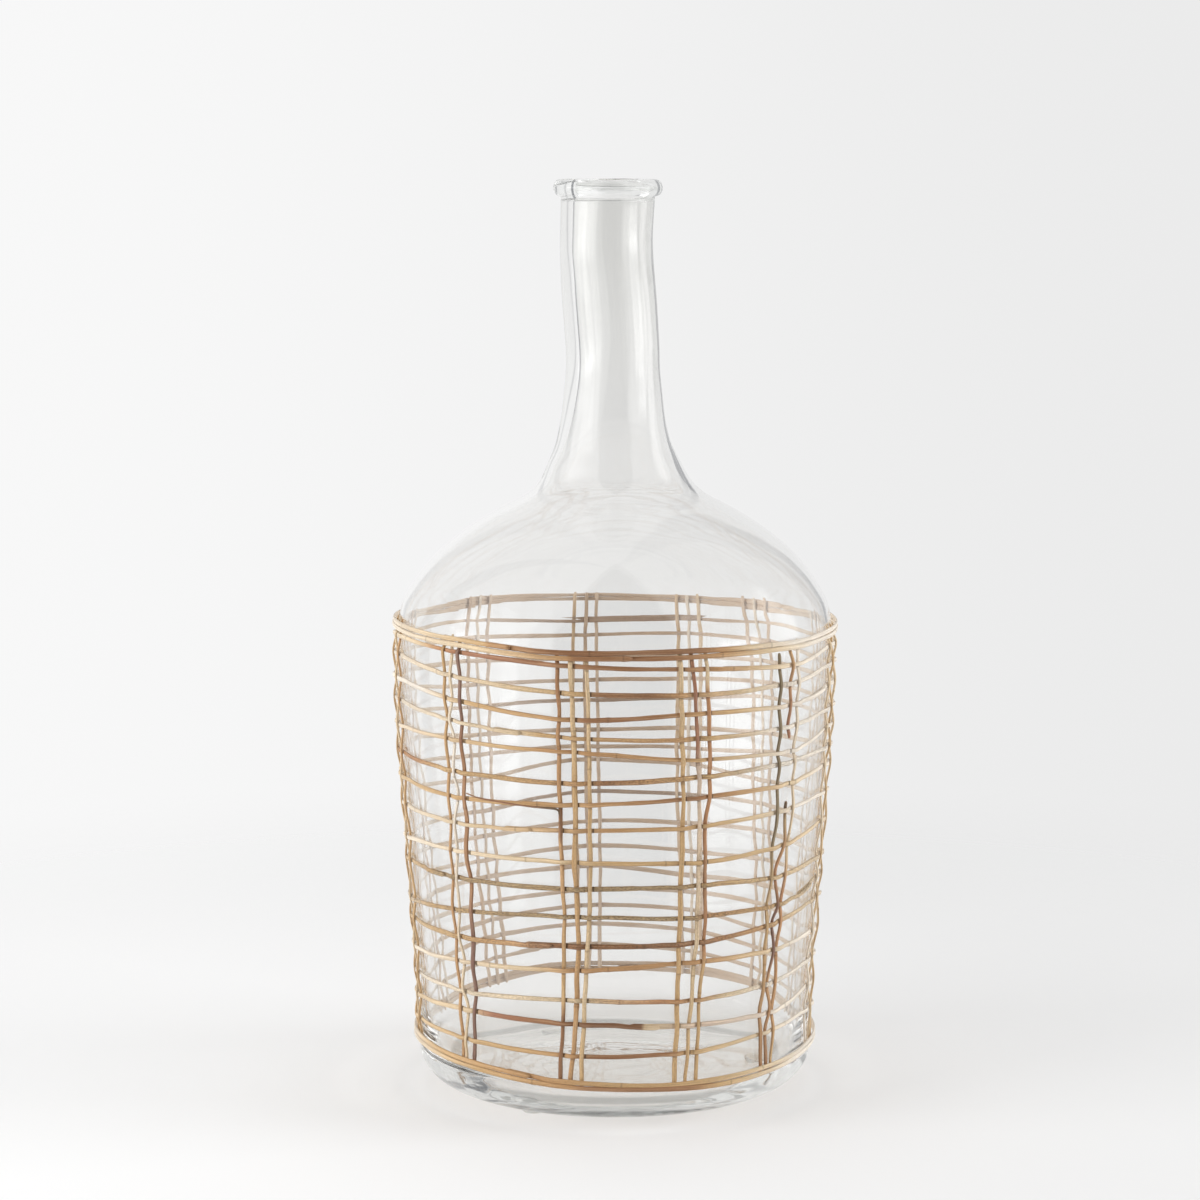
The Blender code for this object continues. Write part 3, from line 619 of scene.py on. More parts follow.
def roughen(point, radius, height, inner):
    """Where a point of the glass lies once the unevenness of hand blowing is added."""
    around = Vector((point.x, point.y, 0)).normalized() if radius > GLASS_STEP / 10 else Vector((0, 0, 0))
    neck = fade(NECK_BASE - SHOULDER_HEIGHT / 4, NECK_BASE + NECK_HEIGHT / 4, height)
    floor = 1 - fade(GLASS_BASE, HEEL_TOP + HEEL_HEIGHT, height)
    floor *= 1 - fade(SWIRL_RADIUS, CONTACT_RADIUS, radius)
    place = point * Vector(WAVE_SCALE)
    if inner:
        wave = INNER_WAVE * noise.noise(place + Vector((7, 3, 1)))
        streak = Vector((around.x, around.y, height)) * Vector(NECK_STREAK_SCALE)
        wave += NECK_WAVE * neck * noise.noise(streak + Vector((4, 9, 5)))
    else:
        wave = OUTER_WAVE * noise.noise(place)
    moved = point + around * wave * (1 - floor)
    layer = 3 if inner else 6
    warp = flat_noise(point, WARP_SCALE, 0, layer)
    swirl = radius + SWIRL_PITCH * SWIRL_WARP * warp
    ripple = math.sin(2 * math.pi * swirl / SWIRL_PITCH)
    ripple *= 0.5 + flat_noise(point, RIPPLE_SCALE, 0, 1)
    ripple += SWIRL_PATCHES * flat_noise(point, PATCH_SCALE, warp, layer)
    moved.z += SWIRL_DEPTH * floor * ripple * fade(0, PUNT_RADIUS / 5, radius)
    if inner:
        moved.x += BORE_SHIFT * along(BORE_SHARES, (height - NECK_BASE) / NECK_HEIGHT)
    moved.x += lean_at(height)
    return moved


def screen_to_linear(colour):
    """A colour given as on a screen, as linear light."""
    return tuple(c / 12.92 if c <= 0.04045 else ((c + 0.055) / 1.055) ** 2.4 for c in colour)


class Nodes:
    """Short names for building a node tree."""

    def __init__(self, tree):
        self.tree = tree

    def add(self, kind, inputs=None, **settings):
        """A node with its settings, and its inputs given as values or as other nodes' outputs."""
        node = self.tree.nodes.new(kind)
        for name, value in settings.items():
            setattr(node, name, value)
        for name, value in (inputs or {}).items():
            self.feed(node, name, value)
        return node

    def feed(self, node, name, value):
        """Sets or links one input."""
        if isinstance(value, bpy.types.NodeSocket):
            self.tree.links.new(value, node.inputs[name])
        else:
            node.inputs[name].default_value = value

    def maths(self, operation, a, b=0.0):
        """The result of a Math node."""
        return self.add("ShaderNodeMath", {0: a, 1: b}, operation=operation).outputs[0]

    def times(self, a, b):
        """One value times another."""
        return self.maths("MULTIPLY", a, b)

    def plus(self, a, b):
        """One value plus another."""
        return self.maths("ADD", a, b)

    def most(self, a, b):
        """The greater of two values."""
        return self.maths("MAXIMUM", a, b)

    def ramp(self, value, low, high):
        """0 where value is low, 1 where it is high, smooth between."""
        inputs = {"Value": value, "From Min": low, "From Max": high}
        return self.add("ShaderNodeMapRange", inputs, interpolation_type="SMOOTHSTEP").outputs[0]

    def mix(self, share, a, b):
        """A mix of two colours."""
        return self.add("ShaderNodeMix", {0: share, 6: a, 7: b}, data_type="RGBA").outputs[2]

    def noise(self, vector, scale, detail=2.0, roughness=0.5):
        """The value of a noise texture."""
        inputs = {"Vector": vector, "Scale": scale, "Detail": detail, "Roughness": roughness}
        return self.add("ShaderNodeTexNoise", inputs).outputs[0]

    def stretched(self, vector, scale):
        """A vector times three lengths."""
        return self.add("ShaderNodeVectorMath", {0: vector, 1: scale}, operation="MULTIPLY").outputs[0]

    def length(self, vector):
        """The length of a vector."""
        return self.add("ShaderNodeVectorMath", {0: vector}, operation="LENGTH").outputs["Value"]

    def attribute(self, name):
        """A node that reads one of the mesh's attributes."""
        return self.add("ShaderNodeAttribute", attribute_name=name)

    def seen(self):
        """1 for what the camera sees, straight or through glass or mirrored, and 0 for light."""
        path = self.add("ShaderNodeLightPath").outputs
        return self.most(self.most(path["Is Camera Ray"], path["Is Transmission Ray"]), path["Is Glossy Ray"])

    def parts(self, vector):
        """The three parts of a vector."""
        return self.add("ShaderNodeSeparateXYZ", {0: vector}).outputs

    def place(self, kind="Object"):
        """Where a point lies in its object, or which way the world is looked at."""
        return self.add("ShaderNodeTexCoord").outputs[kind]

    def mixed_surface(self, output, share, a, b):
        """Feeds a mix of two surfaces to the output."""
        mixed = self.add("ShaderNodeMixShader", {0: share, 1: a.outputs[0], 2: b.outputs[0]})
        self.feed(output, "Surface", mixed.outputs[0])


def new_material(name):
    """An empty node material with its tree and output."""
    made = bpy.data.materials.new(name)
    made.use_nodes = True
    made.node_tree.nodes.clear()
    nodes = Nodes(made.node_tree)
    return made, nodes, nodes.add("ShaderNodeOutputMaterial")


def shine_through(nodes, output, solid):
    """Feeds a surface to the output, clear for the light of lamps and of the room."""
    clear = nodes.add("ShaderNodeBsdfTransparent", {"Color": LAMPLIGHT_TINT})
    path = nodes.add("ShaderNodeLightPath").outputs
    lit = nodes.most(path["Is Shadow Ray"], path["Is Diffuse Ray"])
    nodes.mixed_surface(output, lit, solid, clear)


def glass_material():
    """Clear glass with a faint grey tint. Lamps and the room's soft light shine through it. A darker tint
    paints a thin shadow line where the heel meets the floor, and darker streaks in the lip paint the shade
    that refraction shows there.
    """
    made, nodes, output = new_material("clear_blown_glass")
    place = nodes.place()
    height = nodes.parts(place)[2]
    fine = nodes.noise(nodes.stretched(place, (1, 1, 0.35)), 55.0, 2.0)
    bump = nodes.add("ShaderNodeBump", {"Height": fine, "Strength": 0.03, "Distance": 0.0003})
    film = nodes.noise(place, 18.0, 4.0)
    neck = nodes.ramp(height, NECK_BASE - SHOULDER_HEIGHT / 3, LIP_BASE)
    tint = nodes.mix(neck, GLASS_TINT, NECK_TINT)
    lip = nodes.ramp(height, LIP_BASE + LIP_EDGE[0], LIP_BASE + LIP_EDGE[1])
    # Painted shade: darker streaks in the lip's glass.
    lip_streaks = nodes.noise(nodes.stretched(place, LIP_STREAK_STRETCH), 1.0, 2.0)
    tint = nodes.mix(lip, tint, nodes.mix(nodes.ramp(lip_streaks, *LIP_STREAK_EDGE), LIP_TINT, LIP_STREAK))
    tint = nodes.mix(nodes.ramp(height, HEEL_TOP + HEEL_EDGE[0], HEEL_TOP + HEEL_EDGE[1]), tint, HEEL_TINT)
    reach = nodes.length(nodes.stretched(place, (1, 1, 0)))
    # Painted shadow line where the heel meets the floor.
    contact_shadow = nodes.times(nodes.ramp(height, *CONTACT_HEIGHTS), nodes.ramp(reach, *CONTACT_REACH))
    tint = nodes.mix(contact_shadow, tint, CONTACT_SHADOW_TINT)
    glass = nodes.add("ShaderNodeBsdfPrincipled", {
        "Base Color": tint,
        "Roughness": nodes.times(nodes.ramp(film, *FILM_EDGE), FILM_ROUGHNESS),
        "IOR": 1.5,
        "Transmission Weight": 1.0,
        "Normal": bump.outputs[0],
    })
    shine_through(nodes, output, glass)
    body = nodes.add("ShaderNodeVolumeAbsorption", {"Color": GLASS_ABSORBS, "Density": 1.0})
    nodes.feed(output, "Volume", body.outputs[0])
    return made


def foot_material():
    """Clear soft plastic, slightly yellowed."""
    made, nodes, output = new_material("clear_bumper_plastic")
    place = nodes.place()
    dust = nodes.noise(place, 900.0, 3.0)
    glass = nodes.add("ShaderNodeBsdfPrincipled", {
        "Base Color": nodes.mix(nodes.ramp(dust, 0.4, 0.7), (0.98, 0.97, 0.93, 1), (0.93, 0.91, 0.85, 1)),
        "Roughness": nodes.plus(nodes.times(dust, 0.2), 0.1),
        "IOR": 1.47,
        "Transmission Weight": 0.97,
    })
    shine_through(nodes, output, glass)
    return made


def rattan_material(name):
    """Split rattan: a satin rind outside and a paler, matt pith inside, streaked along the strand. Painted
    shade darkens the strand's edges and, in part, its pith; the dark marks of its nodes also paint shadows
    beside crossings.
    """
    made, nodes, output = new_material(name)
    run, across, rind = nodes.parts(nodes.attribute("strand").outputs["Vector"])
    seed, speckle, joint = nodes.parts(nodes.attribute("marks").outputs["Vector"])
    tint = nodes.attribute("tint").outputs["Color"]

    around = nodes.add("ShaderNodeCombineXYZ", {0: run, 1: across, 2: nodes.plus(rind, seed)}).outputs[0]
    fibre = nodes.noise(nodes.stretched(around, FIBRE_SCALE), 1.0, 4.0, 0.6)
    streak = nodes.noise(nodes.stretched(around, STREAK_SCALE), 1.0, 3.0)
    tone = nodes.noise(nodes.stretched(around, TONE_SCALE), 1.0, 2.0)
    spot = nodes.noise(nodes.stretched(around, SPOT_SCALE), 1.0, 3.0, 0.7)

    dark = nodes.mix(0.6, tint, GRAIN_AND_SHADE_DARK)
    light = nodes.mix(0.3, tint, GRAIN_LIGHT)
    # Pith on the inner face, its colour darkened in part as painted shade.
    pith = nodes.mix(0.45, nodes.mix(nodes.ramp(fibre, *PITH_EDGE), PITH_LIGHT, PITH_DARK), tint)
    # Painted shade along both edges, where the rounded sides of the strand turn from the light.
    side = nodes.ramp(nodes.maths("ABSOLUTE", across), *SIDE_EDGE)
    inward = nodes.ramp(rind, *RIND_EDGE)
    colour = nodes.mix(nodes.ramp(streak, *STREAK_EDGE), dark, light)
    for share, over in (
        (0.6, tint),
        (nodes.times(nodes.ramp(fibre, *FIBRE_EDGE), 0.6), dark),
        (nodes.times(nodes.ramp(tone, *TONE_EDGE), 0.35), light),
        # Painted shade along the strand's edges.
        (nodes.times(side, 0.6), dark),
        (nodes.times(nodes.ramp(spot, *SPOT_EDGE), speckle), SPECK),
        # Dark of the cane's nodes, and painted shadows beside crossings.
        (joint, JOINT_AND_SHADOW),
        (inward, pith),
    ):
        colour = nodes.mix(share, colour, over)

    rough = nodes.plus(nodes.times(fibre, 0.22), 0.36)
    rough = nodes.plus(rough, nodes.times(inward, 0.22))
    height = nodes.plus(fibre, nodes.times(spot, 0.3))
    bump = nodes.add("ShaderNodeBump", {"Height": height, "Strength": 0.5, "Distance": 0.00012})
    cane = nodes.add("ShaderNodeBsdfPrincipled", {
        "Base Color": colour,
        "Roughness": rough,
        "Specular IOR Level": 0.45,
        "Coat Weight": 0.08,
        "Coat Roughness": 0.3,
        "Normal": bump.outputs[0],
    })
    nodes.feed(output, "Surface", cane.outputs[0])
    return made


def new_object(name, data):
    """An object in the scene."""
    made = bpy.data.objects.new(name, data)
    bpy.context.scene.collection.objects.link(made)
    return made


def add_piece(mesh, look, slot, *nodes):
    """Links a mesh as a piece that rides on the body and stands for CAD nodes."""
    mesh.materials.append(look)
    mesh.shade_smooth()
    piece = new_object(mesh.name, mesh)
    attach(piece, BODY)
    if nodes:
        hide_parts(*nodes)


def spun_mesh(name, rows, sides, place):
    """A closed mesh of revolution from rows that start and end on the axis. place moves each point."""
    verts = []
    faces = []
    rings = []
    for row, (radius, height) in enumerate(rows):
        count = 1 if radius < GLASS_STEP / 100 else sides
        ring = []
        for i in range(count):
            turn = 2 * math.pi * i / sides
            ring.append(len(verts))
            point = Vector((radius * math.sin(turn), -radius * math.cos(turn), height))
            verts.append(place(point, radius, height, row))
        rings.append(ring)
    for low, high in zip(rings, rings[1:]):
        for i in range(sides):
            j = (i + 1) % sides
            if len(low) == 1:
                faces.append((low[0], high[j], high[i]))
            elif len(high) == 1:
                faces.append((low[i], low[j], high[0]))
            else:
                faces.append((low[i], low[j], high[j], high[i]))
    mesh = bpy.data.meshes.new(name)
    mesh.from_pydata(verts, [], faces)
    mesh.update()
    return mesh


def make_glass(look):
    """The bottle, with the unevenness of hand blowing."""
    outer = outer_rows()
    rows = outer + inner_rows()

    def place(point, radius, height, row):
        return roughen(point, radius, height, row >= len(outer) + 4)

    mesh = spun_mesh("blown_glass_bottle", rows, GLASS_SIDES, place)
    add_piece(mesh, look, "glass", "glass_bottle")


def make_foot(number, angle, look):
    """A clear bumper with a domed side and a flat underside."""
    half = FOOT_HEIGHT / 2
    rows = [(0, 0), (FOOT_RADIUS * 0.5, 0)]
    rows += arc((FOOT_RADIUS - half, half), half, half, -90, 90, 10)
    rows += [(FOOT_RADIUS * 0.5, FOOT_HEIGHT), (0, FOOT_HEIGHT)]
    turn = math.radians(angle)
    centre = Vector((FOOT_RING * math.sin(turn), -FOOT_RING * math.cos(turn), 0))
    mesh = spun_mesh(f"clear_bumper_{number}", rows, FOOT_SIDES, lambda point, *_: point + centre)
    add_piece(mesh, look, "clear_foot", f"bumper_foot_{number}")


def cyclic(knots):
    """Knots of (angle, value) carried on past a full turn both ways."""
    return [(angle + turn, value) for turn in (-360, 0, 360, 720) for angle, value in knots]


def level_at(level, sags, angle):
    """Height of a level strand at an angle, from its mean level's share and its row of sags."""
    sag = along(cyclic([(group, sag / 100) for group, sag in zip(GROUP_ANGLES, sags)]), angle)
    return WRAP_TOP - level * WRAP_HEIGHT - WEAVER_SPACING * sag


def stake_angle(stake, height):
    """Angle of a stake at a height."""
    return along(STAKE_ROUTES[stake], (WRAP_TOP - height) / WRAP_HEIGHT)


def crossing(stake, weaver):
    """(angle, height) at which a stake and a weaver cross."""
    angle = STAKE_ROUTES[stake][0][1]
    for _ in range(4):
        height = level_at(LEVEL_SHARES[weaver], WEAVER_SAGS[weaver], angle)
        angle = stake_angle(stake, height)
    return angle, height


def stake_outside(stake, weaver):
    """Whether the stake passes outside the weaver. Neighbours differ, as in a plain weave."""
    return (stake + weaver) % 2 == 1


CROSSINGS = [[crossing(s, w) for w in range(len(LEVEL_SHARES))] for s in range(len(STAKE_ROUTES))]


def colour_at(knots, at):
    """Linear colour at one place, from knots of (place, screen colour), in straight steps."""
    if at <= knots[0][0] or len(knots) == 1:
        return screen_to_linear(knots[0][1])
    for (low, first), (high, second) in zip(knots, knots[1:]):
        if at <= high:
            share = (at - low) / (high - low)
            return screen_to_linear([a + (b - a) * share for a, b in zip(first, second)])
    return screen_to_linear(knots[-1][1])


def all_round(knots, middle):
    """Colours of a level strand all the way round, from those in front and that in the middle of the back,
    paler towards the sides behind, partly as painted glare.
    """
    return [*knots, *zip(BACK_COLOUR_ANGLES, (PALE, BLUSH, middle, middle, BLUSH, PALE))]


def surface_frame(angle, height, distance):
    """Point at a distance from the glass, and the way out of the glass there."""
    turn = math.radians(angle)
    slope = glass_slope(height)
    radial = Vector((math.sin(turn), -math.cos(turn), 0))
    outward = (radial - Vector((0, 0, slope))).normalized()
    point = radial * glass_radius(height) + Vector((lean_at(height), 0, height)) + outward * distance
    return point, outward


# The last field is how dark the cane's nodes and the painted shadows beside crossings make a station.
Station = namedtuple("Station", "point outward width thick colour speckle joint")


def strand_mesh(name, runs, seed):
    """A mesh of crowned flat strands, one from each list of stations, lying end to end as one strand."""
    verts = []
    faces = []
    strand = []
    tint = []
    marks = []
    travelled = 0
    for stations in runs:
        first = len(verts)
        for i, station in enumerate(stations):
            before = stations[max(i - 1, 0)].point
            after = stations[min(i + 1, len(stations) - 1)].point
            ahead = (after - before).normalized()
            roll = math.radians(ROLL * wander(seed + 60, travelled, ROLL_PITCH))
            side = Quaternion(ahead, roll) @ station.outward.cross(ahead).normalized()
            out = ahead.cross(side).normalized()
            travelled += (station.point - before).length
            for k in range(CANE_SIDES):
                turn = 2 * math.pi * (k + 0.5) / CANE_SIDES
                x, y = math.cos(turn), math.sin(turn)
                x = math.copysign(abs(x) ** CANE_CROWN[0], x)
                y = math.copysign(abs(y) ** CANE_CROWN[1], y)
                verts.append(station.point + side * (x * station.width / 2) + out * (y * station.thick / 2))
                strand.append((travelled, x, y))
                tint.append((*station.colour, 1))
                marks.append((seed, station.speckle, station.joint))
        for i in range(len(stations) - 1):
            low = first + i * CANE_SIDES
            for k in range(CANE_SIDES):
                j = (k + 1) % CANE_SIDES
                faces.append((low + k, low + CANE_SIDES + k, low + CANE_SIDES + j, low + j))
        faces.append(tuple(range(first, first + CANE_SIDES)))
        faces.append(tuple(reversed(range(len(verts) - CANE_SIDES, len(verts)))))
    mesh = bpy.data.meshes.new(name)
    mesh.from_pydata(verts, [], faces)
    mesh.update()
    bm = bmesh.new()
    bm.from_mesh(mesh)
    bmesh.ops.recalc_face_normals(bm, faces=bm.faces)
    bm.to_mesh(mesh)
    bm.free()
    for named, kind, part, values in (
        ("strand", "FLOAT_VECTOR", "vector", strand), ("tint", "FLOAT_COLOR", "color", tint),
        ("marks", "FLOAT_VECTOR", "vector", marks),
    ):
        mesh.attributes.new(named, kind, "POINT").data.foreach_set(part, [c for v in values for c in v])
    return mesh


def wander(seed, at, pitch):
    """A smooth random value from about -1 to 1 along a strand."""
    return noise.noise(Vector((at / pitch, seed * 7.3, 0.5))) * 1.6


def swing(size_and_pitch, seed, at):
    """How far something strays at a place along a strand."""
    size, pitch = size_and_pitch
    return size * wander(seed, at, pitch)


def nodes_along(seed, length):
    """Places of the cane's own nodes along a strand."""
    chance = random.Random(seed)
    places = [chance.uniform(*NODE_FIRST) * NODE_PITCH]
    while places[-1] < length:
        places.append(places[-1] + chance.uniform(*NODE_NEXT) * NODE_PITCH)
    return places[:-1]


def places_along(length, marks):
    """Distances along a strand for its stations, closer together at marks."""
    count = math.ceil(length / CANE_STEP)
    places = [length * i / count for i in range(count + 1)]
    for mark in marks:
        places += [mark - MARK_REACH, mark - MARK_REACH / 2, mark, mark + MARK_REACH / 2, mark + MARK_REACH]
    places = sorted(p for p in places if 0 <= p <= length)
    kept = places[:1]
    for p in places[1:]:
        if p - kept[-1] > MARK_REACH / 5:
            kept.append(p)
    return kept


def joint_and_shadow_at(marks, at):
    """How dark the nearest marks of (place, strength) make a strand: the cane's own nodes, and painted
    shadows beside crossings.
    """
    return max([strength * (1 - abs(at - place) / MARK_REACH) for place, strength in marks] + [0])


def strand_size(seed, run, width, end_distance, nodes):
    """Width and thickness of a strand that swells at its nodes and is trimmed at its ends."""
    swell = sum(math.exp(-((run - node) / NODE_REACH) ** 2) for node in nodes)
    wide = 1 + swing(WIDE_WANDER, seed, run) + swing(FINE_WANDER, seed + 50, run) + NODE_WIDER * swell
    wide *= width
    thick = CANE_THICK * (1 + swing(THICK_WANDER, seed + 90, run) + NODE_THICKER * swell)
    trim = TRIMMED + (1 - TRIMMED) * fade(0, TRIM_LENGTH, end_distance)
    return wide * trim, thick * trim


def make_stake(number, look):
    """One upright strand."""
    seed = number + 1
    middle = STAKE_ROUTES[number][0][1]
    top_rim = level_at(0, TOP_RIM_SAGS, middle)
    bottom_rim = level_at(1, BOTTOM_RIM_SAGS, STAKE_ROUTES[number][-1][1])
    rim_half = (RIM_SPACING + RIM_WIDTH) / 2
    proud = STAKE_TOPS[number // STAKES_IN_GROUP] + STAKE_TOP_WANDER * wander(seed, 1, 1)
    proud = STAKE_CUT.get(number, proud)
    high = top_rim + rim_half + STAKE_PROUD * proud
    low = bottom_rim - rim_half
    layers = [(low - 1, INNER_FACE), (bottom_rim + rim_half, INNER_FACE)]
    nodes = nodes_along(seed, high - low)
    marks = [(node, NODE_MARK) for node in nodes]
    for weaver in reversed(range(len(LEVEL_SHARES))):
        z = CROSSINGS[number][weaver][1]
        outside = stake_outside(number, weaver)
        layers.append((z, OUTER_FACE if outside else INNER_FACE))
        # A weaver over the stake: painted shadow on the stake just below it.
        if not outside:
            marks.append((high - z + WEAVER_WIDTH * STAKE_SHADE_DROP, STAKE_SHADE))
    # Painted shadow on the stake just below the top rim.
    marks.append((high - top_rim + rim_half + MARK_REACH, STAKE_SHADE))
    layers += [(top_rim - rim_half, INNER_FACE), (high + 1, INNER_FACE)]
    width = STAKE_WIDTH * STAKE_WIDTH_SHARES[number]
    places = places_along(high - low, [place for place, _ in marks])
    gaps = STAKE_GAPS.get(number, ())
    ends = [0, high - low] + [WRAP_HEIGHT * share for gap in gaps for share in gap]
    runs = [[]]
    for place in sorted(places + [WRAP_HEIGHT * share for gap in gaps for share in gap]):
        z = high - place
        share = place / WRAP_HEIGHT
        if any(first < share < last for first, last in gaps):
            if runs[-1]:
                runs.append([])
            continue
        wide, thick = strand_size(seed, place, width, min(abs(place - end) for end in ends), nodes)
        angle = stake_angle(number, z) + swing(STAKE_WANDER, seed + 20, place)
        point, outward = surface_frame(angle, z, along(layers, z) + thick / 2)
        colour = colour_at(STAKE_COLOURS[number], share)
        runs[-1].append(Station(point, outward, wide, thick, colour, STAKE_SPECKLE, joint_and_shadow_at(marks, place)))
    mesh = strand_mesh(f"rattan_stake_{number + 1:02d}", runs, seed)
    add_piece(mesh, look, "rattan_stake", f"stake_{number + 1:02d}")


def level_stations(seed, start, layers, height_at, width, colours, speckle, shades):
    """Stations of a strand that runs round the bottle from a start angle over its own start."""
    end = start + 360 + LAP_ANGLE
    radius = glass_radius(height_at(start))
    length = radius * math.radians(end - start)
    nodes = nodes_along(seed, length)
    marks = [(node, NODE_MARK) for node in nodes]
    # Painted shadows beside crossings, given as (angle, strength).
    marks += [(radius * math.radians(angle - start), strength) for angle, strength in shades]
    stations = []
    for run in places_along(length, [place for place, _ in marks]):
        angle = start + math.degrees(run / radius)
        wide, thick = strand_size(seed, run, width, min(run, length - run), nodes)
        z = height_at(angle) + swing(LEVEL_WANDER, seed + 30, run)
        point, outward = surface_frame(angle, z, along(layers, angle) + thick / 2)
        colour = colour_at(colours, (angle + 90) % 360 - 90)
        stations.append(Station(point, outward, wide, thick, colour, speckle, joint_and_shadow_at(marks, run)))
    return stations


def make_weaver(number, look):
    """One level strand, woven round and lapped over its own start."""
    seed = number + 101
    start = WEAVER_LAPS[number]
    crossings = []
    shades = []
    for stake in range(len(STAKE_ROUTES)):
        outside = stake_outside(stake, number)
        angle, height = CROSSINGS[stake][number]
        angle = (angle - start) % 360 + start
        crossings.append((angle, INNER_FACE if outside else OUTER_FACE))
        # A stake over the weaver: painted shadow on the weaver beside it, darker to the right.
        if outside:
            reach = STAKE_WIDTH * STAKE_WIDTH_SHARES[stake] / 2 + MARK_REACH * WEAVER_SHADE_REACH
            turn = math.degrees(reach / glass_radius(height))
            shades += [(angle + turn, RIGHT_SHADE), (angle - turn, LEFT_SHADE)]
    crossings.sort()
    layers = [(start, INNER_FACE), (start + LAP_ANGLE, INNER_FACE)]
    for angle, face in crossings:
        if angle - layers[-1][0] > 3 * REST_ANGLE:
            layers += [(layers[-1][0] + REST_ANGLE, INNER_FACE), (angle - REST_ANGLE, INNER_FACE)]
        if angle > layers[-1][0] + SPARE_ANGLE:
            layers.append((angle, face))
    lap = start + 360
    layers += [(lap - LAP_RISE, INNER_FACE), (lap, OUTER_FACE), (lap + LAP_ANGLE + SPARE_ANGLE, OUTER_FACE)]

    def height_at(angle):
        return level_at(LEVEL_SHARES[number], WEAVER_SAGS[number], angle)

    width = WEAVER_WIDTH * WEAVER_WIDTH_SHARES[number]
    speckle = WEAVER_SPECKLES.get(number, LEVEL_SPECKLE)
    colours = all_round(WEAVER_COLOURS[number], WEAVER_BACKS.get(number, MUTED))
    runs = [level_stations(seed, start, layers, height_at, width, colours, speckle, shades)]
    mesh = strand_mesh(f"rattan_weaver_{number + 1:02d}", runs, seed)
    add_piece(mesh, look, "rattan_weaver", f"weaver_{number + 1:02d}")


def make_rim(order, name, look):
    """One rim strand outside all stakes."""
    seed = order + 131
    level, sags, side, start, front = RIMS[name]
    layers = [
        (start, INNER_FACE), (start + LAP_ANGLE, INNER_FACE), (start + LAP_ANGLE + RIM_RISE, RIM_FACE),
        (start + 360 + LAP_ANGLE + SPARE_ANGLE, RIM_FACE),
    ]

    def height_at(angle):
        return level_at(level, sags, angle) + side * RIM_SPACING / 2

    colours = all_round(front, MUTED)
    stations = level_stations(seed, start, layers, height_at, RIM_WIDTH, colours, LEVEL_SPECKLE, ())
    mesh = strand_mesh(f"rattan_{name}", [stations], seed)
    add_piece(mesh, look, "rattan_rim", name)


def make_sliver(look):
    """A thin split of cane that has lifted from a strand."""
    seed = 201
    points = [surface_frame(angle, height, out) for angle, height, out, _, _ in SLIVER]
    lengths = [0]
    for (a, _), (b, _) in zip(points, points[1:]):
        lengths.append(lengths[-1] + (b - a).length)
    stations = []
    count = math.ceil(lengths[-1] / SLIVER_STEP)
    for i in range(count + 1):
        at = lengths[-1] * i / count
        columns = list(zip(*SLIVER))[:4]
        angle, height, out, width = (along(list(zip(lengths, column)), at) for column in columns)
        point, outward = surface_frame(angle, height, out)
        colour = colour_at(list(zip(lengths, [stop[4] for stop in SLIVER])), at)
        trim = SLIVER_TRIMMED + (1 - SLIVER_TRIMMED) * fade(0, SLIVER_TRIM_LENGTH, min(at, lengths[-1] - at))
        wide = width * trim * (1 + swing(SLIVER_WANDER, seed, at))
        stations.append(Station(point, outward, wide, SLIVER_THICK * trim, colour, SLIVER_SPECKLE, 0))
    mesh = strand_mesh("rattan_sliver_1", [stations], seed)
    add_piece(mesh, look, "rattan_weaver")


def make_camera():
    """The camera at the photograph's viewing angle."""
    data = bpy.data.cameras.new("photo_camera")
    data.sensor_width = SENSOR
    data.lens = SENSOR * FOCAL_PIXELS / IMAGE_SIZE
    camera = new_object("photo_camera", data)
    aside = (AXIS_PIXEL - IMAGE_SIZE / 2) * CAMERA_DISTANCE / FOCAL_PIXELS
    camera.location = (-aside, -CAMERA_DISTANCE, CAMERA_HEIGHT)
    camera.rotation_euler = (math.radians(90 - CAMERA_TILT), 0, 0)
    bpy.context.scene.camera = camera


def make_floor():
    """Pale floor that fades into the backdrop."""
    mesh = bpy.data.meshes.new("floor")
    bm = bmesh.new()
    bmesh.ops.create_circle(bm, cap_ends=True, segments=96, radius=FLOOR_RADIUS)
    bm.to_mesh(mesh)
    bm.free()
    made, nodes, output = new_material("pale_floor")
    place = nodes.place()
    far = nodes.length(place)
    away = nodes.maths("SQRT", nodes.plus(nodes.times(far, far), CAMERA_DISTANCE ** 2))
    aside = nodes.maths("DIVIDE", nodes.parts(place)[0], away)
    backdrop = backdrop_colour(nodes, aside)
    matt = nodes.add("ShaderNodeBsdfDiffuse", {"Color": backdrop})
    gone = nodes.add("ShaderNodeBsdfTransparent", {"Color": (1, 1, 1, 1)})
    nodes.mixed_surface(output, nodes.times(nodes.ramp(far, *FLOOR_FADE), nodes.seen()), matt, gone)
    mesh.materials.append(made)
    floor = new_object("floor", mesh)
    floor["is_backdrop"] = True


def backdrop_colour(nodes, aside):
    """Colour of the backdrop, a little darker to the right. aside is the x of a direction."""
    left, right = (*screen_to_linear(BACKDROP_LEFT), 1), (*screen_to_linear(BACKDROP_RIGHT), 1)
    return nodes.mix(nodes.ramp(aside, -BACKDROP_TURN, BACKDROP_TURN), left, right)


def band(nodes, value, low, high, edge):
    """1 between two angles in degrees and 0 outside, with soft edges."""
    rise = nodes.ramp(value, math.radians(low - edge), math.radians(low))
    fall = nodes.ramp(value, math.radians(high + edge), math.radians(high))
    return nodes.times(rise, fall)


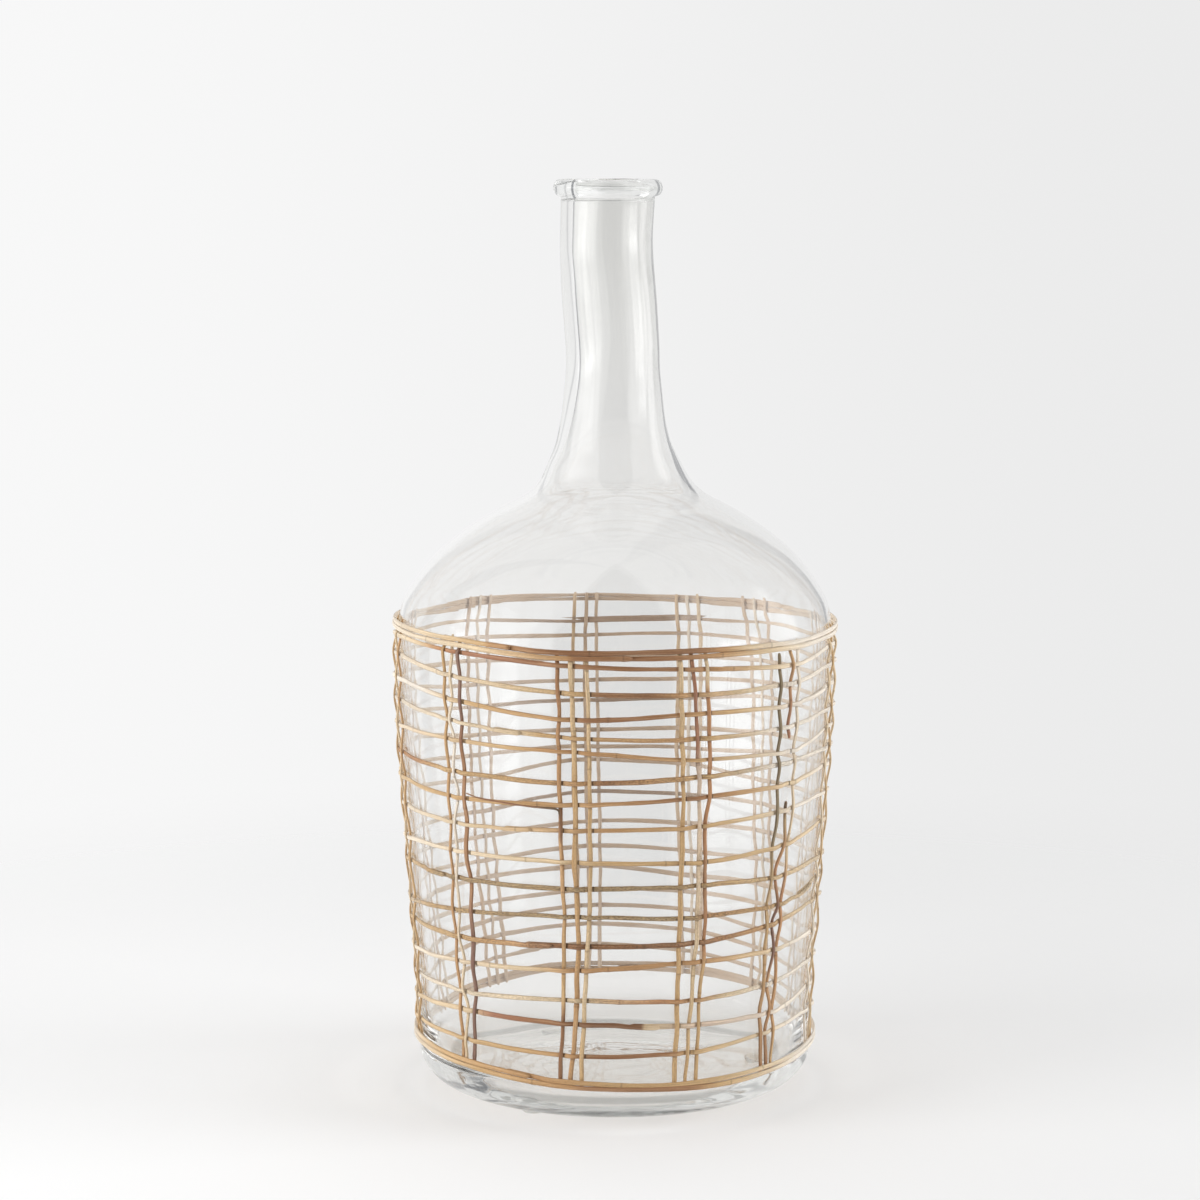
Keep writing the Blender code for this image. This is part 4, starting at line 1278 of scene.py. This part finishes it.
def make_world():
    """Plain pale studio: even light, a pale backdrop and soft panels for the glass to mirror."""
    world = bpy.data.worlds.new("studio")
    world.use_nodes = True
    world.node_tree.nodes.clear()
    nodes = Nodes(world.node_tree)
    way = nodes.place("Generated")
    x, y, z = nodes.parts(way)
    path = nodes.add("ShaderNodeLightPath").outputs
    plain = backdrop_colour(nodes, x)

    # Dark strips beside the backdrop, seen where light leaves the glass by the wall that it came in by
    behind = nodes.maths("ARCTAN2", x, y)
    edges = 0.0
    for low, high, share in EDGE_STRIPS:
        strip = nodes.times(band(nodes, behind, low, high, EDGE_STRIP_BLUR), share)
        edges = nodes.most(strip, edges)
    one_wall = nodes.maths("LESS_THAN", path["Transmission Depth"], 3)
    edges = nodes.times(edges, one_wall)
    edges = nodes.times(edges, path["Is Transmission Ray"])

    # What the glass mirrors: a dim room behind the camera and a soft panel to each side
    ahead = nodes.maths("ARCTAN2", x, nodes.times(y, -1))
    dim = band(nodes, ahead, DIM_ROOM[0], DIM_ROOM[1], DIM_ROOM_BLUR)
    mirrored = nodes.mix(dim, plain, (DIM_LEVEL, DIM_LEVEL, DIM_LEVEL, 1))
    for low, high, blur, level, foot, top in PANELS:
        rise = nodes.ramp(z, foot - PANEL_EDGE, foot + PANEL_EDGE)
        fall = nodes.ramp(z, top + PANEL_EDGE, top - PANEL_EDGE)
        panel = nodes.times(band(nodes, ahead, low, high, blur), nodes.times(rise, fall))
        mirrored = nodes.mix(panel, mirrored, (level, level, level, 1))
    reflected = nodes.maths("GREATER_THAN", path["Glossy Depth"], 0.5)
    seen = nodes.mix(reflected, plain, mirrored)
    seen = nodes.mix(edges, seen, (*EDGE_STRIP_COLOUR, 1))

    colour = nodes.mix(nodes.seen(), (ROOM_LIGHT, ROOM_LIGHT, ROOM_LIGHT, 1), seen)
    background = nodes.add("ShaderNodeBackground", {"Color": colour, "Strength": 1.0})
    output = nodes.add("ShaderNodeOutputWorld")
    nodes.feed(output, "Surface", background.outputs[0])
    bpy.context.scene.world = world


def make_lamp(name, place, size, power):
    """A soft square lamp that isn't seen itself."""
    data = bpy.data.lights.new(name, "AREA")
    data.size = size
    data.energy = power
    lamp = new_object(name, data)
    lamp.location = place
    lamp.rotation_euler = (Vector(LAMP_TARGET) - Vector(place)).to_track_quat("-Z", "Y").to_euler()
    lamp.visible_camera = False
    lamp.visible_transmission = False
    lamp.visible_glossy = False


def set_render():
    """Plain colour and enough bounces for light to pass the glass."""
    scene = bpy.context.scene
    scene.view_settings.view_transform = "Standard"
    for kind in ("max", "transmission", "glossy", "transparent_max"):
        setattr(scene.cycles, f"{kind}_bounces", LIGHT_BOUNCES)
    scene.cycles.caustics_refractive = False
    scene.cycles.caustics_reflective = False


def main():
    """Builds the whole scene."""
    make_camera()
    make_world()
    make_floor()
    for name, (place, size, power) in LAMPS.items():
        make_lamp(name, place, size, power)
    make_glass(glass_material())
    foot_look = foot_material()
    for number, angle in enumerate(FOOT_ANGLES, 1):
        make_foot(number, angle, foot_look)
    stake_look = rattan_material("rattan_stake_cane")
    for number in range(len(STAKE_ROUTES)):
        make_stake(number, stake_look)
    weaver_look = rattan_material("rattan_weaver_cane")
    for number in range(len(LEVEL_SHARES)):
        make_weaver(number, weaver_look)
    rim_look = rattan_material("rattan_rim_cane")
    for order, name in enumerate(RIMS, 1):
        make_rim(order, name, rim_look)
    make_sliver(weaver_look)
    set_render()


main()
[[list(corner) for corner in box] for box in (cad_box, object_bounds())]
